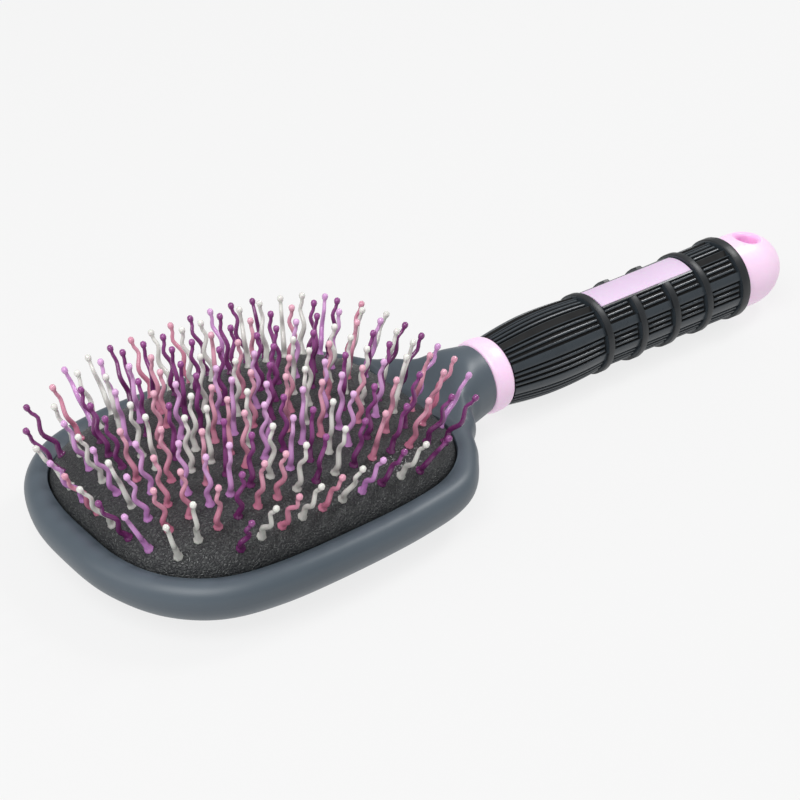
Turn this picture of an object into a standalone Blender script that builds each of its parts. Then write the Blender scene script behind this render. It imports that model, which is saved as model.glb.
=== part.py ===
"""Cushioned mane brush, lying on its back with its pins up.

A soft-touch paddle head clamps a domed rubber cushion that carries wavy pins. A stiff core
runs from the head through the collar and the ribbed grip into the end cap.
Lengths are in metres. +X runs from the head to the cap, +Z up through the pins, and the
origin lies under the middle of the brush, on the surface that it rests on.
"""
import math
import random

import bmesh
import bpy
from mathutils import Vector

MM = 0.001

# Clearances and cuts
FIT_GAP = 0.3 * MM
CUSHION_CLEARANCE = 0.35 * MM
CUT_OVERRUN = 5 * MM
WELD = 0.001 * MM

# Head
HEAD_LENGTH = 135 * MM
HEAD_HALF_WIDTH = 48.5 * MM
AXIS_HEIGHT = 13 * MM
RIM_WIDTH = 7.9 * MM
RIM_CREST_INSET = 4.2 * MM
RIM_RISE = 4.2 * MM
RIM_FALL = 1.7 * MM
RIM_STEPS = 4
# The one bend of the rim's inner slope: how far across it lies, and how far down
RIM_BEND_SHARES = (0.55, 0.35)
WIDEST_DROP = 0.2 * MM
BACK_SWEEP = 21 * MM
BACK_STEPS = 5
PARTING_DROP = 2 * MM
NECK_RADIUS = 10.4 * MM
NECK_HEIGHT = 12.4 * MM
NECK_BLUNTNESS = 10
OUTLINE_STEPS = 3
OPENING_RIGHT_GAP = 23.8 * MM
OPENING_POWER = 3.4
LOOP_POINTS = 32

# Each row: along the head, half width, and the point of the middle line that its section meets
HEAD_OUTLINE_SHARES = (
    (0.000, 0.000, 0.340),
    (0.010, 0.344, 0.345),
    (0.058, 0.668, 0.360),
    (0.145, 0.891, 0.385),
    (0.269, 0.986, 0.420),
    (0.440, 1.000, 0.470),
    (0.621, 0.965, 0.530),
    (0.744, 0.880, 0.585),
    (0.820, 0.662, 0.650),
    (0.856, 0.501, 0.740),
    (0.886, 0.414, 0.840),
    (0.912, 0.287, 0.900),
    (0.948, 0.254, 0.948),
)
# Where the flat section turns into the round neck: at the rim, and on the middle line
RIM_BLEND_SHARES = (0.815, 0.94)
SPINE_BLEND_SHARES = (0.855, 0.965)

# Core: the tray under the cushion and the tang through the handle
TRAY_TOP_DROP = 4.3 * MM
TRAY_SHOULDER_SHARE = 0.475
BACK_WALL = 2.3 * MM
TRAY_FLOOR = 1.6 * MM
TRAY_TOP_REACH = 2.4 * MM
TRAY_SHOULDER_REACH = 0.2 * MM
TRAY_BASE_INSET = 6.5 * MM
TRAY_LEDGE = 2 * MM
TRAY_WALL = 2.2 * MM
TANG_RADIUS = 5.5 * MM
TANG_SIDES = 24
SPUR_HALF_WIDTH = 4.5 * MM
SPUR_LAP = 5 * MM
TANG_SETBACK = 10.5 * MM
SPUR_THICKNESS = 2.9 * MM

# Cushion: a clamped edge and the dome that sinks when the brush is pressed
EDGE_THICKNESS = 1.85 * MM
CUSHION_EDGE_RISE = 2.4 * MM
CUSHION_DOME = 11.7 * MM
DOME_POWER = 3.6
DOME_SHOULDER_POWER = 0.58
DOME_EDGE_SHARE = 0.988
SKIRT_DEPTH = 3.6 * MM
SKIRT_WALL = 2 * MM
SLICE_THICKNESS = 1 * MM
SLICE_SEAT = 0.45 * MM
MEMBRANE = 1.2 * MM

# Pins
ROW_COUNT = 11
ROW_INSET = 4.8 * MM
PIN_PITCH = 6.1 * MM
FIELD_INSET = 3.2 * MM
FIELD_MARGIN = 1.8 * MM
FIELD_POWER = 3.6
FIELD_LOOP_SHARES = (0.42, 0.68, 0.84, 0.93, 1.00)
PIN_LENGTH = 16.6 * MM
PIN_ROOT = 0.6 * MM
PIN_FOOT_RADIUS = 1.35 * MM
PIN_RADIUS = 0.95 * MM
PIN_BALL_RADIUS = 1.2 * MM
PIN_WAVE = 1.1 * MM
# How far the pins at the dome's edge would lean out, and how fast the lean grows towards it
PIN_SPLAY_DEGREES = 46.5
PIN_SPLAY_POWER = 2.9
PIN_SIDES = 3
PIN_SEED = 7
# Each row: along the pin, radius as a share of the shaft's, sideways share of the wave
PIN_SHAPE_SHARES = (
    (0.09, 1.00, 0.0),
    (0.28, 0.97, 1.0),
    (0.49, 0.93, -1.0),
    (0.70, 0.88, 1.0),
    (0.90, 0.75, 0.0),
)
PIN_TIP_SHARE = 0.8

# Collar
COLLAR_LENGTH = 6.9 * MM
COLLAR_RADIUS = 11.1 * MM
COLLAR_END_RADIUS = 9.9 * MM
ROUND_SIDES = 28
# Each row: along the collar, and how much of its bulge stands there
COLLAR_SHAPE_SHARES = ((0, 0), (0.1, 0.5), (0.3, 0.92), (0.5, 1), (0.7, 0.92), (0.9, 0.5), (1, 0))

# Grip: a ribbed sleeve with five raised bands
GRIP_LENGTH = 91.5 * MM
GRIP_START_RADIUS = 10.5 * MM
GRIP_BELLY_RADIUS = 12.3 * MM
GRIP_WAIST_RADIUS = 11.4 * MM
# Where the sleeve is widest before its first band, as a share of the way there
BELLY_SHARE = 0.55
GRIP_END_RADIUS = 12.2 * MM
BAND_FIRST_RADIUS = 12.4 * MM
BAND_LAST_RADIUS = 12.9 * MM
BAND_WIDTH = 2.3 * MM
BAND_END_WIDTH = 3.1 * MM
BAND_FIRST_MIDDLE = 35.2 * MM
BAND_SPACING = 13.2 * MM
BAND_SHOULDER = 0.6 * MM
GRIP_START_SHARES = (0.0, 0.18, 0.42, 0.75)
GROOVE_DEPTH = 1 * MM
RIB_GROUPS = 9
RIB_TURN_SHARE = 0.5
# Where a group's flat rib, grooves and thin ribs begin, as shares of the group
RIB_EDGE_SHARES = (-0.175, 0.175, 0.21, 0.285, 0.38, 0.488, 0.595, 0.69, 0.785)
RIB_HEIGHT_SHARES = (1.0, 1.0, 0.0, 1.0, 0.0, 1.0, 0.0, 1.0, 0.0)

# Label plate
LABEL_HALF_DEGREES = 24.5
LABEL_RIM_DEGREES = 3.2
LABEL_EDGE_DEGREES = 0.5
LABEL_THICKNESS = 1.2 * MM
LABEL_RADIUS = 11.9 * MM
LABEL_SEGMENTS = 6

# End cap
CAP_LENGTH = 21 * MM
CAP_RADIUS = 11.6 * MM
CAP_DOME_START = 7.2 * MM
CAP_SOCKET_DEPTH = 4.5 * MM
HANG_HOLE_RADIUS = 3.2 * MM
HANG_HOLE_PLACE = 9.5 * MM
HANG_HOLE_MOUTH = 1.2 * MM
# Each row: height in the cap as a share of its radius, and how much of the mouth's flare is open
HANG_HOLE_SHARES = ((-1.15, 1), (-0.98, 0.85), (-0.8, 0), (0.8, 0), (0.98, 0.85), (1.15, 1))
CAP_DOME_STEPS = 6
CAP_TIP_SHARE = 0.08

# Places that follow from the sizes
TOTAL_LENGTH = HEAD_LENGTH + COLLAR_LENGTH + GRIP_LENGTH + CAP_LENGTH + 2 * FIT_GAP
HEAD_TIP_X = -TOTAL_LENGTH / 2
COLLAR_X = HEAD_TIP_X + HEAD_LENGTH
GRIP_X = COLLAR_X + COLLAR_LENGTH + FIT_GAP
CAP_X = GRIP_X + GRIP_LENGTH + FIT_GAP
TANG_START_X = COLLAR_X - TANG_SETBACK
TANG_END_X = CAP_X + CAP_SOCKET_DEPTH - FIT_GAP
OPENING_LEFT_X = HEAD_TIP_X + RIM_WIDTH
OPENING_RIGHT_X = COLLAR_X - OPENING_RIGHT_GAP
OPENING_X = (OPENING_LEFT_X + OPENING_RIGHT_X) / 2
OPENING_HALF_LENGTH = (OPENING_RIGHT_X - OPENING_LEFT_X) / 2
OPENING_HALF_WIDTH = HEAD_HALF_WIDTH - RIM_WIDTH
PARTING_Z = AXIS_HEIGHT - PARTING_DROP
CUSHION_HALF_LENGTH = OPENING_HALF_LENGTH - CUSHION_CLEARANCE
CUSHION_HALF_WIDTH = OPENING_HALF_WIDTH - CUSHION_CLEARANCE
FIELD_HALF_LENGTH = CUSHION_HALF_LENGTH - FIELD_INSET
FIELD_HALF_WIDTH = CUSHION_HALF_WIDTH - FIELD_INSET
ROW_PITCH = 2 * (CUSHION_HALF_WIDTH - ROW_INSET) / (ROW_COUNT - 1)
TRAY_BASE_DROP = AXIS_HEIGHT - BACK_WALL - FIT_GAP
TRAY_SHOULDER_DROP = TRAY_TOP_DROP + (TRAY_BASE_DROP - TRAY_TOP_DROP) * TRAY_SHOULDER_SHARE

COLOURS = {
    "soft_touch_grey": ((0.10, 0.125, 0.145), 0.55),
    "stiff_black": ((0.03, 0.03, 0.032), 0.45),
    "cushion_rubber": ((0.02, 0.02, 0.022), 0.6),
    "pin_nylon": ((0.45, 0.17, 0.46), 0.25),
    "pale_pink": ((0.88, 0.68, 0.86), 0.3),
    "grip_rubber": ((0.025, 0.028, 0.03), 0.5),
}


def make_material(name):
    """One Principled material from the colour table."""
    if name in bpy.data.materials:
        return bpy.data.materials[name]
    colour, roughness = COLOURS[name]
    material = bpy.data.materials.new(name)
    material.use_nodes = True
    shader = material.node_tree.nodes["Principled BSDF"]
    shader.inputs["Base Color"].default_value = (*colour, 1.0)
    shader.inputs["Roughness"].default_value = roughness
    shader.inputs["Metallic"].default_value = 0.0
    return material


def add_object(name, bm, material=None, smooth_degrees=40.0):
    """Turn a bmesh into a named object, with its faces pointing out."""
    bmesh.ops.recalc_face_normals(bm, faces=bm.faces)
    mesh = bpy.data.meshes.new(name)
    bm.to_mesh(mesh)
    bm.free()
    mesh.shade_smooth()
    mesh.set_sharp_from_angle(angle=math.radians(smooth_degrees))
    thing = bpy.data.objects.new(name, mesh)
    bpy.context.scene.collection.objects.link(thing)
    if material:
        mesh.materials.append(make_material(material))
    return thing


def as_cutter(thing):
    """Keep a guide solid out of the finished part."""
    thing.hide_render = True
    thing.display_type = "WIRE"
    return thing


def boolean(thing, other, operation):
    """Cut or join one solid with another."""
    modifier = thing.modifiers.new(other.name, "BOOLEAN")
    modifier.operation = operation
    modifier.solver = "EXACT"
    modifier.object = other
    return modifier


def skin_loops(loops):
    """A closed solid through loops of equally many points, with a face over each end."""
    bm = bmesh.new()
    rings = [[bm.verts.new(point) for point in loop] for loop in loops]
    for lower, upper in zip(rings, rings[1:]):
        count = len(lower)
        for i in range(count):
            j = (i + 1) % count
            bm.faces.new((lower[i], lower[j], upper[j], upper[i]))
    bm.faces.new(list(reversed(rings[0])))
    bm.faces.new(rings[-1])
    return bm


def turned(profile, sides):
    """A solid turned about the handle's axis from rows of place along X and radius."""
    loops = []
    for x, radius in profile:
        loop = []
        for i in range(sides):
            angle = math.tau * i / sides
            loop.append((x, radius * math.sin(angle), AXIS_HEIGHT + radius * math.cos(angle)))
        loops.append(loop)
    return skin_loops(loops)


def power_point(angle, half_length, half_width, power):
    """A point of a rounded rectangle about the cushion's middle."""
    cosine, sine = math.cos(angle), math.sin(angle)
    x = math.copysign(abs(cosine) ** (2 / power), cosine)
    y = math.copysign(abs(sine) ** (2 / power), sine)
    return OPENING_X + half_length * x, half_width * y


def opening_loop(reach, z):
    """The opening's outline, moved out by a reach, at one height."""
    loop = []
    for i in range(LOOP_POINTS):
        angle = math.tau * (i + 0.5) / LOOP_POINTS
        half_length, half_width = OPENING_HALF_LENGTH + reach, OPENING_HALF_WIDTH + reach
        x, y = power_point(angle, half_length, half_width, OPENING_POWER)
        loop.append((x, y, z))
    return loop


def dome_spread(x, y):
    """How far out a place lies on the cushion: 0 at its middle, 1 at its edge."""
    along = abs(x - OPENING_X) / CUSHION_HALF_LENGTH
    across = abs(y) / CUSHION_HALF_WIDTH
    return (along ** OPENING_POWER + across ** OPENING_POWER) ** (1 / OPENING_POWER)


def dome_height(x, y):
    """Height of the cushion's outer surface: flat on top, steep at the edge."""
    fall = min(dome_spread(x, y), 1.0) ** DOME_POWER
    return AXIS_HEIGHT + CUSHION_EDGE_RISE + CUSHION_DOME * (1 - fall) ** DOME_SHOULDER_POWER


# Head: the outer shape that the frame and the back share


def blend(start, end, share):
    return start + (end - start) * share


def outline_rows():
    """Points of half the head's outline, with the middle-line point of each section."""
    knots = [list(row) for row in HEAD_OUTLINE_SHARES]
    knots.append([1.0, NECK_RADIUS / HEAD_HALF_WIDTH, 1.0])
    before = [knots[1][0], -knots[1][1], knots[1][2]]
    after = [2 * a - b for a, b in zip(knots[-1], knots[-2])]
    knots = [before] + knots + [after]
    rows = []
    for k in range(1, len(knots) - 2):
        p0, p1, p2, p3 = knots[k - 1:k + 3]
        for step in range(OUTLINE_STEPS):
            t = step / OUTLINE_STEPS
            row = []
            for a, b, c, d in zip(p0, p1, p2, p3):
                curve = 2 * b + (c - a) * t
                curve += (2 * a - 5 * b + 4 * c - d) * t ** 2
                curve += (3 * b - a - 3 * c + d) * t ** 3
                row.append(curve / 2)
            rows.append(row)
    rows.append(knots[-2])
    return rows


def rim_profile():
    """Inset and height above the axis, from the head's widest line up over the rim."""
    rows = []
    for step in range(RIM_STEPS + 1):
        angle = math.pi / 2 * step / RIM_STEPS
        inset = RIM_CREST_INSET * (1 - math.cos(angle))
        rows.append((inset, RIM_RISE * math.sin(angle) - WIDEST_DROP))
    run = RIM_WIDTH - RIM_CREST_INSET
    crest = RIM_RISE - WIDEST_DROP
    across, down = RIM_BEND_SHARES
    rows.append((RIM_CREST_INSET + run * across, crest - RIM_FALL * down))
    rows.append((RIM_CREST_INSET + run, crest - RIM_FALL))
    return rows


def back_profile():
    """Inset and drop below the axis, from the widest line round to the flat back."""
    rows = []
    depth = AXIS_HEIGHT - WIDEST_DROP
    for step in range(1, BACK_STEPS + 1):
        angle = math.pi / 2 * step / BACK_STEPS
        inset = BACK_SWEEP * (1 - math.cos(angle))
        rows.append((inset, -WIDEST_DROP - depth * math.sin(angle)))
    return rows


def ease(share, start, end):
    """A smooth step from 0 to 1 between two shares."""
    t = min(max((share - start) / (end - start), 0.0), 1.0)
    return t * t * (3 - 2 * t)


def head_hull():
    """The whole outer shape of head and neck as one closed solid."""
    top = rim_profile()
    section = top[::-1] + back_profile()
    turns = [math.pi / 2 * i / len(top) for i in range(len(top))][::-1]
    turns += [-math.pi / 2 * i / (BACK_STEPS + 1) for i in range(1, BACK_STEPS + 1)]
    bm = bmesh.new()
    grid = []
    for x_share, width_share, spine_share in outline_rows():
        rim = Vector((HEAD_TIP_X + HEAD_LENGTH * x_share, HEAD_HALF_WIDTH * width_share, 0))
        spine = Vector((HEAD_TIP_X + HEAD_LENGTH * spine_share, 0, 0))
        depth = (spine - rim).length
        inward = (spine - rim).normalized()
        neck_rise = depth / (1 + (depth / NECK_HEIGHT) ** NECK_BLUNTNESS) ** (1 / NECK_BLUNTNESS)
        rim_neck = ease(x_share, *RIM_BLEND_SHARES)
        spine_neck = ease(spine_share, *SPINE_BLEND_SHARES)
        lip = blend(section[0][1], neck_rise, spine_neck)
        row = [Vector((spine.x, 0, AXIS_HEIGHT + lip))]
        for (inset, height), turn in zip(section, turns):
            round_inset = depth * (1 - math.cos(turn))
            neck = blend(rim_neck, spine_neck, round_inset / depth) if turn > 0 else rim_neck
            place = rim + inward * blend(min(inset, depth), round_inset, rim_neck)
            place.z = AXIS_HEIGHT + blend(height, neck_rise * math.sin(turn), neck)
            row.append(place)
        base = blend(section[-1][1], -neck_rise, rim_neck)
        row.append(Vector((spine.x, 0, AXIS_HEIGHT + base)))
        grid.append([bm.verts.new(place) for place in row])
    for left, right in zip(grid, grid[1:]):
        for j in range(len(left) - 1):
            bm.faces.new((left[j], right[j], right[j + 1], left[j + 1]))
    everything = bm.verts[:] + bm.edges[:] + bm.faces[:]
    bmesh.ops.mirror(bm, geom=everything, axis="Y", merge_dist=WELD)
    bmesh.ops.holes_fill(bm, edges=[edge for edge in bm.edges if edge.is_boundary], sides=0)
    return bm


def box(low, high):
    """A plain block between two corners."""
    bm = bmesh.new()
    bmesh.ops.create_cube(bm, size=1)
    size = [b - a for a, b in zip(low, high)]
    middle = [(a + b) / 2 for a, b in zip(low, high)]
    bmesh.ops.scale(bm, vec=size, verts=bm.verts)
    bmesh.ops.translate(bm, vec=middle, verts=bm.verts)
    return bm


def rod_along_x(start, end, radius):
    return turned([(start, radius), (end, radius)], TANG_SIDES)


def tray_solid(gap, top_z):
    """The tray's outer shape, grown by a gap, up to one height."""
    loops = [
        opening_loop(gap - TRAY_BASE_INSET, AXIS_HEIGHT - TRAY_BASE_DROP - gap),
        opening_loop(gap + TRAY_SHOULDER_REACH, AXIS_HEIGHT - TRAY_SHOULDER_DROP - gap),
        opening_loop(gap + TRAY_TOP_REACH, AXIS_HEIGHT - TRAY_TOP_DROP - gap),
    ]
    if gap:
        loops.append(opening_loop(gap + TRAY_TOP_REACH, top_z))
    return skin_loops(loops)


def spur_block(gap):
    """The foot that joins the tray to the tang, under the cushion's edge."""
    start = OPENING_RIGHT_X + TRAY_SHOULDER_REACH / 2 - gap
    top = AXIS_HEIGHT - TRAY_TOP_DROP + gap
    low = (start, -SPUR_HALF_WIDTH - gap, top - SPUR_THICKNESS - 2 * gap)
    high = (TANG_START_X + SPUR_LAP + gap, SPUR_HALF_WIDTH + gap, top)
    return box(low, high)


def make_head():
    """Back shell, front frame, and the core that both close round."""
    past = HEAD_LENGTH
    low = (HEAD_TIP_X - past, -past, PARTING_Z - FIT_GAP / 2)
    high = (COLLAR_X + past, past, PARTING_Z + past)
    upper = as_cutter(add_object("upper_cut", box(low, high)))
    low = (HEAD_TIP_X - past, -past, PARTING_Z - past)
    high = (COLLAR_X + past, past, PARTING_Z + FIT_GAP / 2)
    lower = as_cutter(add_object("lower_cut", box(low, high)))
    cavity = as_cutter(add_object("cavity_cut", tray_solid(FIT_GAP, PARTING_Z + CUT_OVERRUN)))
    loops = [opening_loop(0, PARTING_Z - CUT_OVERRUN), opening_loop(0, PARTING_Z + HEAD_LENGTH)]
    opening = as_cutter(add_object("opening_cut", skin_loops(loops)))
    bore_end = COLLAR_X + CUT_OVERRUN
    bore = rod_along_x(TANG_START_X - FIT_GAP, bore_end, TANG_RADIUS + FIT_GAP)
    bore = as_cutter(add_object("tang_bore_cut", bore))
    spur_room = as_cutter(add_object("spur_cut", spur_block(FIT_GAP)))

    back = add_object("head_back_shell", head_hull(), "soft_touch_grey")
    for cutter in (upper, cavity, bore, spur_room):
        boolean(back, cutter, "DIFFERENCE")
    frame = add_object("head_front_frame", head_hull(), "soft_touch_grey")
    for cutter in (lower, opening, bore):
        boolean(frame, cutter, "DIFFERENCE")


def make_core():
    """Tray, spur and tang, moulded as one stiff piece."""
    top_z = AXIS_HEIGHT - TRAY_TOP_DROP
    core = add_object("paddle_core", tray_solid(0, top_z), "stiff_black")
    ledge = TRAY_TOP_REACH - TRAY_LEDGE
    floor_z = AXIS_HEIGHT - TRAY_BASE_DROP + TRAY_FLOOR
    loops = [
        opening_loop(-TRAY_BASE_INSET - TRAY_WALL / 2, floor_z),
        opening_loop(TRAY_SHOULDER_REACH - TRAY_WALL, AXIS_HEIGHT - TRAY_SHOULDER_DROP),
        opening_loop(ledge, top_z - TRAY_WALL / 2),
        opening_loop(ledge, top_z + CUT_OVERRUN),
    ]
    chamber = as_cutter(add_object("chamber_cut", skin_loops(loops)))
    boolean(core, chamber, "DIFFERENCE")
    spur = as_cutter(add_object("spur_join", spur_block(0)))
    boolean(core, spur, "UNION")
    tang = as_cutter(add_object("tang_join", rod_along_x(TANG_START_X, TANG_END_X, TANG_RADIUS)))
    boolean(core, tang, "UNION")
    return core


def make_cushion_edge():
    """The cushion's flat edge, clamped between the frame and the tray."""
    top_z = PARTING_Z - FIT_GAP / 2
    low_z = top_z - EDGE_THICKNESS
    edge_loops = [opening_loop(TRAY_TOP_REACH, low_z), opening_loop(TRAY_TOP_REACH, top_z)]
    edge = add_object("cushion_edge", skin_loops(edge_loops), "cushion_rubber")
    hole_loops = [opening_loop(0, top_z - CUT_OVERRUN), opening_loop(0, top_z + CUT_OVERRUN)]
    hole = as_cutter(add_object("edge_hole_cut", skin_loops(hole_loops)))
    boolean(edge, hole, "DIFFERENCE")
    return edge


# Cushion: loops that shrink evenly from its edge to its middle


def dome_loop(half_length, half_width, power, drop):
    """A loop on the dome, lowered by a drop."""
    loop = []
    for i in range(LOOP_POINTS):
        angle = math.tau * (i + 0.5) / LOOP_POINTS
        x, y = power_point(angle, half_length, half_width, power)
        loop.append((x, y, dome_height(x, y) - drop))
    return loop


def field_loops(drop, inset=0.0):
    """Loops of the field that the pins stand in, from its middle out to its edge."""
    half_length = FIELD_HALF_LENGTH + FIELD_MARGIN - inset
    half_width = FIELD_HALF_WIDTH + FIELD_MARGIN - inset
    loops = []
    for share in FIELD_LOOP_SHARES:
        loops.append(dome_loop(half_length * share, half_width * share, FIELD_POWER, drop))
    return loops


def make_cushion_pad():
    """The dome: a margin at full height, a seat for the slices, and a hollow underside."""
    seat = SLICE_THICKNESS + SLICE_SEAT
    skirt_z = AXIS_HEIGHT + CUSHION_EDGE_RISE - SKIRT_DEPTH
    loops = field_loops(seat + MEMBRANE, MEMBRANE)
    loops.append(opening_loop(-CUSHION_CLEARANCE - SKIRT_WALL, skirt_z))
    loops.append(opening_loop(-CUSHION_CLEARANCE, skirt_z))
    for share in (1, DOME_EDGE_SHARE):
        half_length, half_width = CUSHION_HALF_LENGTH * share, CUSHION_HALF_WIDTH * share
        loops.append(dome_loop(half_length, half_width, OPENING_POWER, 0))
    loops.append(field_loops(0)[-1])
    loops += reversed(field_loops(seat))
    return add_object("cushion_pad", skin_loops(loops), "cushion_rubber")


def dome_lean(x, y):
    """Which way is outward on the dome, as long as a pin's lean there in radians."""
    spread = dome_spread(x, y)
    if not spread:
        return Vector((0, 0, 0))
    along = (x - OPENING_X) / CUSHION_HALF_LENGTH
    across = y / CUSHION_HALF_WIDTH
    power = OPENING_POWER - 1
    slope_x = math.copysign(abs(along / spread) ** power, along) / CUSHION_HALF_LENGTH
    slope_y = math.copysign(abs(across / spread) ** power, across) / CUSHION_HALF_WIDTH
    size = math.radians(PIN_SPLAY_DEGREES) * spread ** PIN_SPLAY_POWER * CUSHION_HALF_WIDTH
    return Vector((size * slope_x, size * slope_y, 0))


def pin_solid(x, y, turn):
    """One wavy pin with a flared foot and a ball tip, leaning out with the dome."""
    outward = dome_lean(x, y)
    lean = outward.length
    way = Vector((0, 0, math.cos(lean))) + outward.normalized() * math.sin(lean)
    side = way.orthogonal().normalized()
    other = way.cross(side)
    wave = side * math.cos(turn) + other * math.sin(turn)
    foot = Vector((x, y, dome_height(x, y)))
    rows = [(-PIN_ROOT, PIN_FOOT_RADIUS, 0.0)]
    for along, radius_share, wave_share in PIN_SHAPE_SHARES:
        rows.append((PIN_LENGTH * along, PIN_RADIUS * radius_share, PIN_WAVE * wave_share))
    rows.append((PIN_LENGTH, PIN_BALL_RADIUS, 0.0))
    loops = []
    for along, radius, offset in rows:
        loop = []
        for i in range(PIN_SIDES):
            angle = math.tau * i / PIN_SIDES + turn
            rim = (side * math.cos(angle) + other * math.sin(angle)) * radius
            loop.append(foot + way * along + wave * offset + rim)
        loops.append(loop)
    bm = skin_loops(loops)
    bm.faces.ensure_lookup_table()
    tip = bmesh.ops.poke(bm, faces=[bm.faces[-1]])
    tip["verts"][0].co += way * PIN_BALL_RADIUS * PIN_TIP_SHARE
    return bm


def slice_solid(low_y, high_y):
    """A slice of the cushion's skin between two lines along the brush."""
    bm = skin_loops(field_loops(SLICE_THICKNESS, FIT_GAP) + field_loops(0, FIT_GAP)[::-1])
    for place, side in ((low_y, -1), (high_y, 1)):
        everything = bm.verts[:] + bm.edges[:] + bm.faces[:]
        bmesh.ops.bisect_plane(bm, geom=everything, plane_co=(0, place, 0), plane_no=(0, side, 0),
                               clear_outer=True)
        edges = [edge for edge in bm.edges if edge.is_boundary]
        bmesh.ops.holes_fill(bm, edges=edges, sides=0)
    return bm


def row_places(y):
    """Where the pins of one row stand, evenly spaced along the field's width there."""
    across = abs(y) / FIELD_HALF_WIDTH
    half = FIELD_HALF_LENGTH * (1 - across ** FIELD_POWER) ** (1 / FIELD_POWER)
    count = round(2 * half / PIN_PITCH)
    return [OPENING_X + half * (2 * k / count - 1) for k in range(count + 1)]


def make_pins():
    """Rows of pins, each row fused to its own slice of the cushion."""
    rng = random.Random(PIN_SEED)
    things = []
    for row in range(ROW_COUNT):
        y = (row - (ROW_COUNT - 1) / 2) * ROW_PITCH
        reach = (ROW_PITCH - FIT_GAP) / 2
        strip = slice_solid(y - reach, y + reach)
        piece = add_object(f"pin_row_{row + 1:02d}", strip, "pin_nylon")
        bm = bmesh.new()
        for x in row_places(y):
            pin = pin_solid(x, y, rng.uniform(0, math.tau))
            mesh = bpy.data.meshes.new("pin")
            pin.to_mesh(mesh)
            pin.free()
            bm.from_mesh(mesh)
            bpy.data.meshes.remove(mesh)
        pins = as_cutter(add_object(f"pin_row_{row + 1:02d}_join", bm))
        boolean(piece, pins, "UNION")
        things.append(piece)
    return things


# Handle


def make_collar():
    """A barrel-shaped ring between the neck and the grip."""
    outer = []
    for share, bulge in COLLAR_SHAPE_SHARES:
        place = blend(COLLAR_X + FIT_GAP, COLLAR_X + COLLAR_LENGTH, share)
        outer.append((place, blend(COLLAR_END_RADIUS, COLLAR_RADIUS, bulge)))
    collar = add_object("neck_collar", turned(outer, ROUND_SIDES), "pale_pink")
    bore = rod_along_x(COLLAR_X - CUT_OVERRUN, GRIP_X + CUT_OVERRUN, TANG_RADIUS + FIT_GAP)
    boolean(collar, as_cutter(add_object("collar_bore_cut", bore)), "DIFFERENCE")
    return collar


def band_middles():
    """Places of the bands along the grip; the last one ends it."""
    places = [(BAND_FIRST_MIDDLE + BAND_SPACING * i, BAND_WIDTH) for i in range(4)]
    places.append((GRIP_LENGTH - BAND_END_WIDTH / 2, BAND_END_WIDTH))
    return places


def grip_radius(along):
    """Radius over the ribs at a place along the grip."""
    first = BAND_FIRST_MIDDLE
    if along < first:
        share = along / first
        if share < BELLY_SHARE:
            rise = math.sin(share / BELLY_SHARE * math.pi / 2)
            return blend(GRIP_START_RADIUS, GRIP_BELLY_RADIUS, rise)
        fall = ((share - BELLY_SHARE) / (1 - BELLY_SHARE)) ** 2
        return blend(GRIP_BELLY_RADIUS, GRIP_WAIST_RADIUS, fall)
    return blend(GRIP_WAIST_RADIUS, GRIP_END_RADIUS, (along - first) / (GRIP_LENGTH - first))


def band_radius(along):
    share = (along - BAND_FIRST_MIDDLE) / (GRIP_LENGTH - BAND_FIRST_MIDDLE)
    return blend(BAND_FIRST_RADIUS, BAND_LAST_RADIUS, share)


def off_top(angle):
    """How far an angle lies from the top of the grip, in degrees."""
    return abs(math.degrees((angle + math.pi) % math.tau - math.pi))


def grip_angles():
    """Angles round the grip with the height share of the ribs there; zero is the top."""
    seat_edge = LABEL_HALF_DEGREES
    rim_edge = LABEL_HALF_DEGREES + LABEL_RIM_DEGREES
    edges = (seat_edge, seat_edge + LABEL_EDGE_DEGREES, rim_edge)
    rows = []
    for group in range(RIB_GROUPS):
        for edge, height in zip(RIB_EDGE_SHARES, RIB_HEIGHT_SHARES):
            angle = math.tau * (group + RIB_TURN_SHARE + edge) / RIB_GROUPS % math.tau
            if min(abs(off_top(angle) - edge) for edge in edges) > LABEL_EDGE_DEGREES:
                rows.append((angle, height))
    for edge in edges:
        rows += [(math.radians(edge), 1.0), (math.tau - math.radians(edge), 1.0)]
    return sorted(rows)


def make_grip():
    """The ribbed sleeve, lofted through sections along the handle."""
    bands = band_middles()
    stations = [(share * BAND_FIRST_MIDDLE, False) for share in GRIP_START_SHARES]
    for middle, width in bands:
        half = width / 2
        stations.append((middle - half - BAND_SHOULDER, False))
        stations.append((middle - half, True))
        stations.append((middle + half, True))
        if middle + half < GRIP_LENGTH - BAND_SHOULDER:
            stations.append((middle + half + BAND_SHOULDER, False))
    label_start = bands[0][0] + bands[0][1] / 2
    label_end = bands[3][0] - bands[3][1] / 2
    seat_radius = LABEL_RADIUS - LABEL_THICKNESS - FIT_GAP
    seat_edge = LABEL_HALF_DEGREES + LABEL_EDGE_DEGREES / 2
    angles = grip_angles()
    loops = []
    for along, on_band in stations:
        loop = []
        on_label = label_start - BAND_SHOULDER / 2 < along < label_end + BAND_SHOULDER / 2
        for angle, height in angles:
            radius = grip_radius(along) - GROOVE_DEPTH * (1 - height)
            if on_band:
                radius = band_radius(along)
            if on_label and off_top(angle) < seat_edge:
                radius = seat_radius
            elif on_label and off_top(angle) < seat_edge + LABEL_RIM_DEGREES:
                radius = LABEL_RADIUS
            y, z = -radius * math.sin(angle), AXIS_HEIGHT + radius * math.cos(angle)
            loop.append((GRIP_X + along, y, z))
        loops.append(loop)
    grip = add_object("grip_sleeve", skin_loops(loops), "grip_rubber", 30.0)
    bore = rod_along_x(GRIP_X - CUT_OVERRUN, CAP_X + CUT_OVERRUN, TANG_RADIUS + FIT_GAP)
    boolean(grip, as_cutter(add_object("grip_bore_cut", bore)), "DIFFERENCE")
    return label_start, label_end


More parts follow.
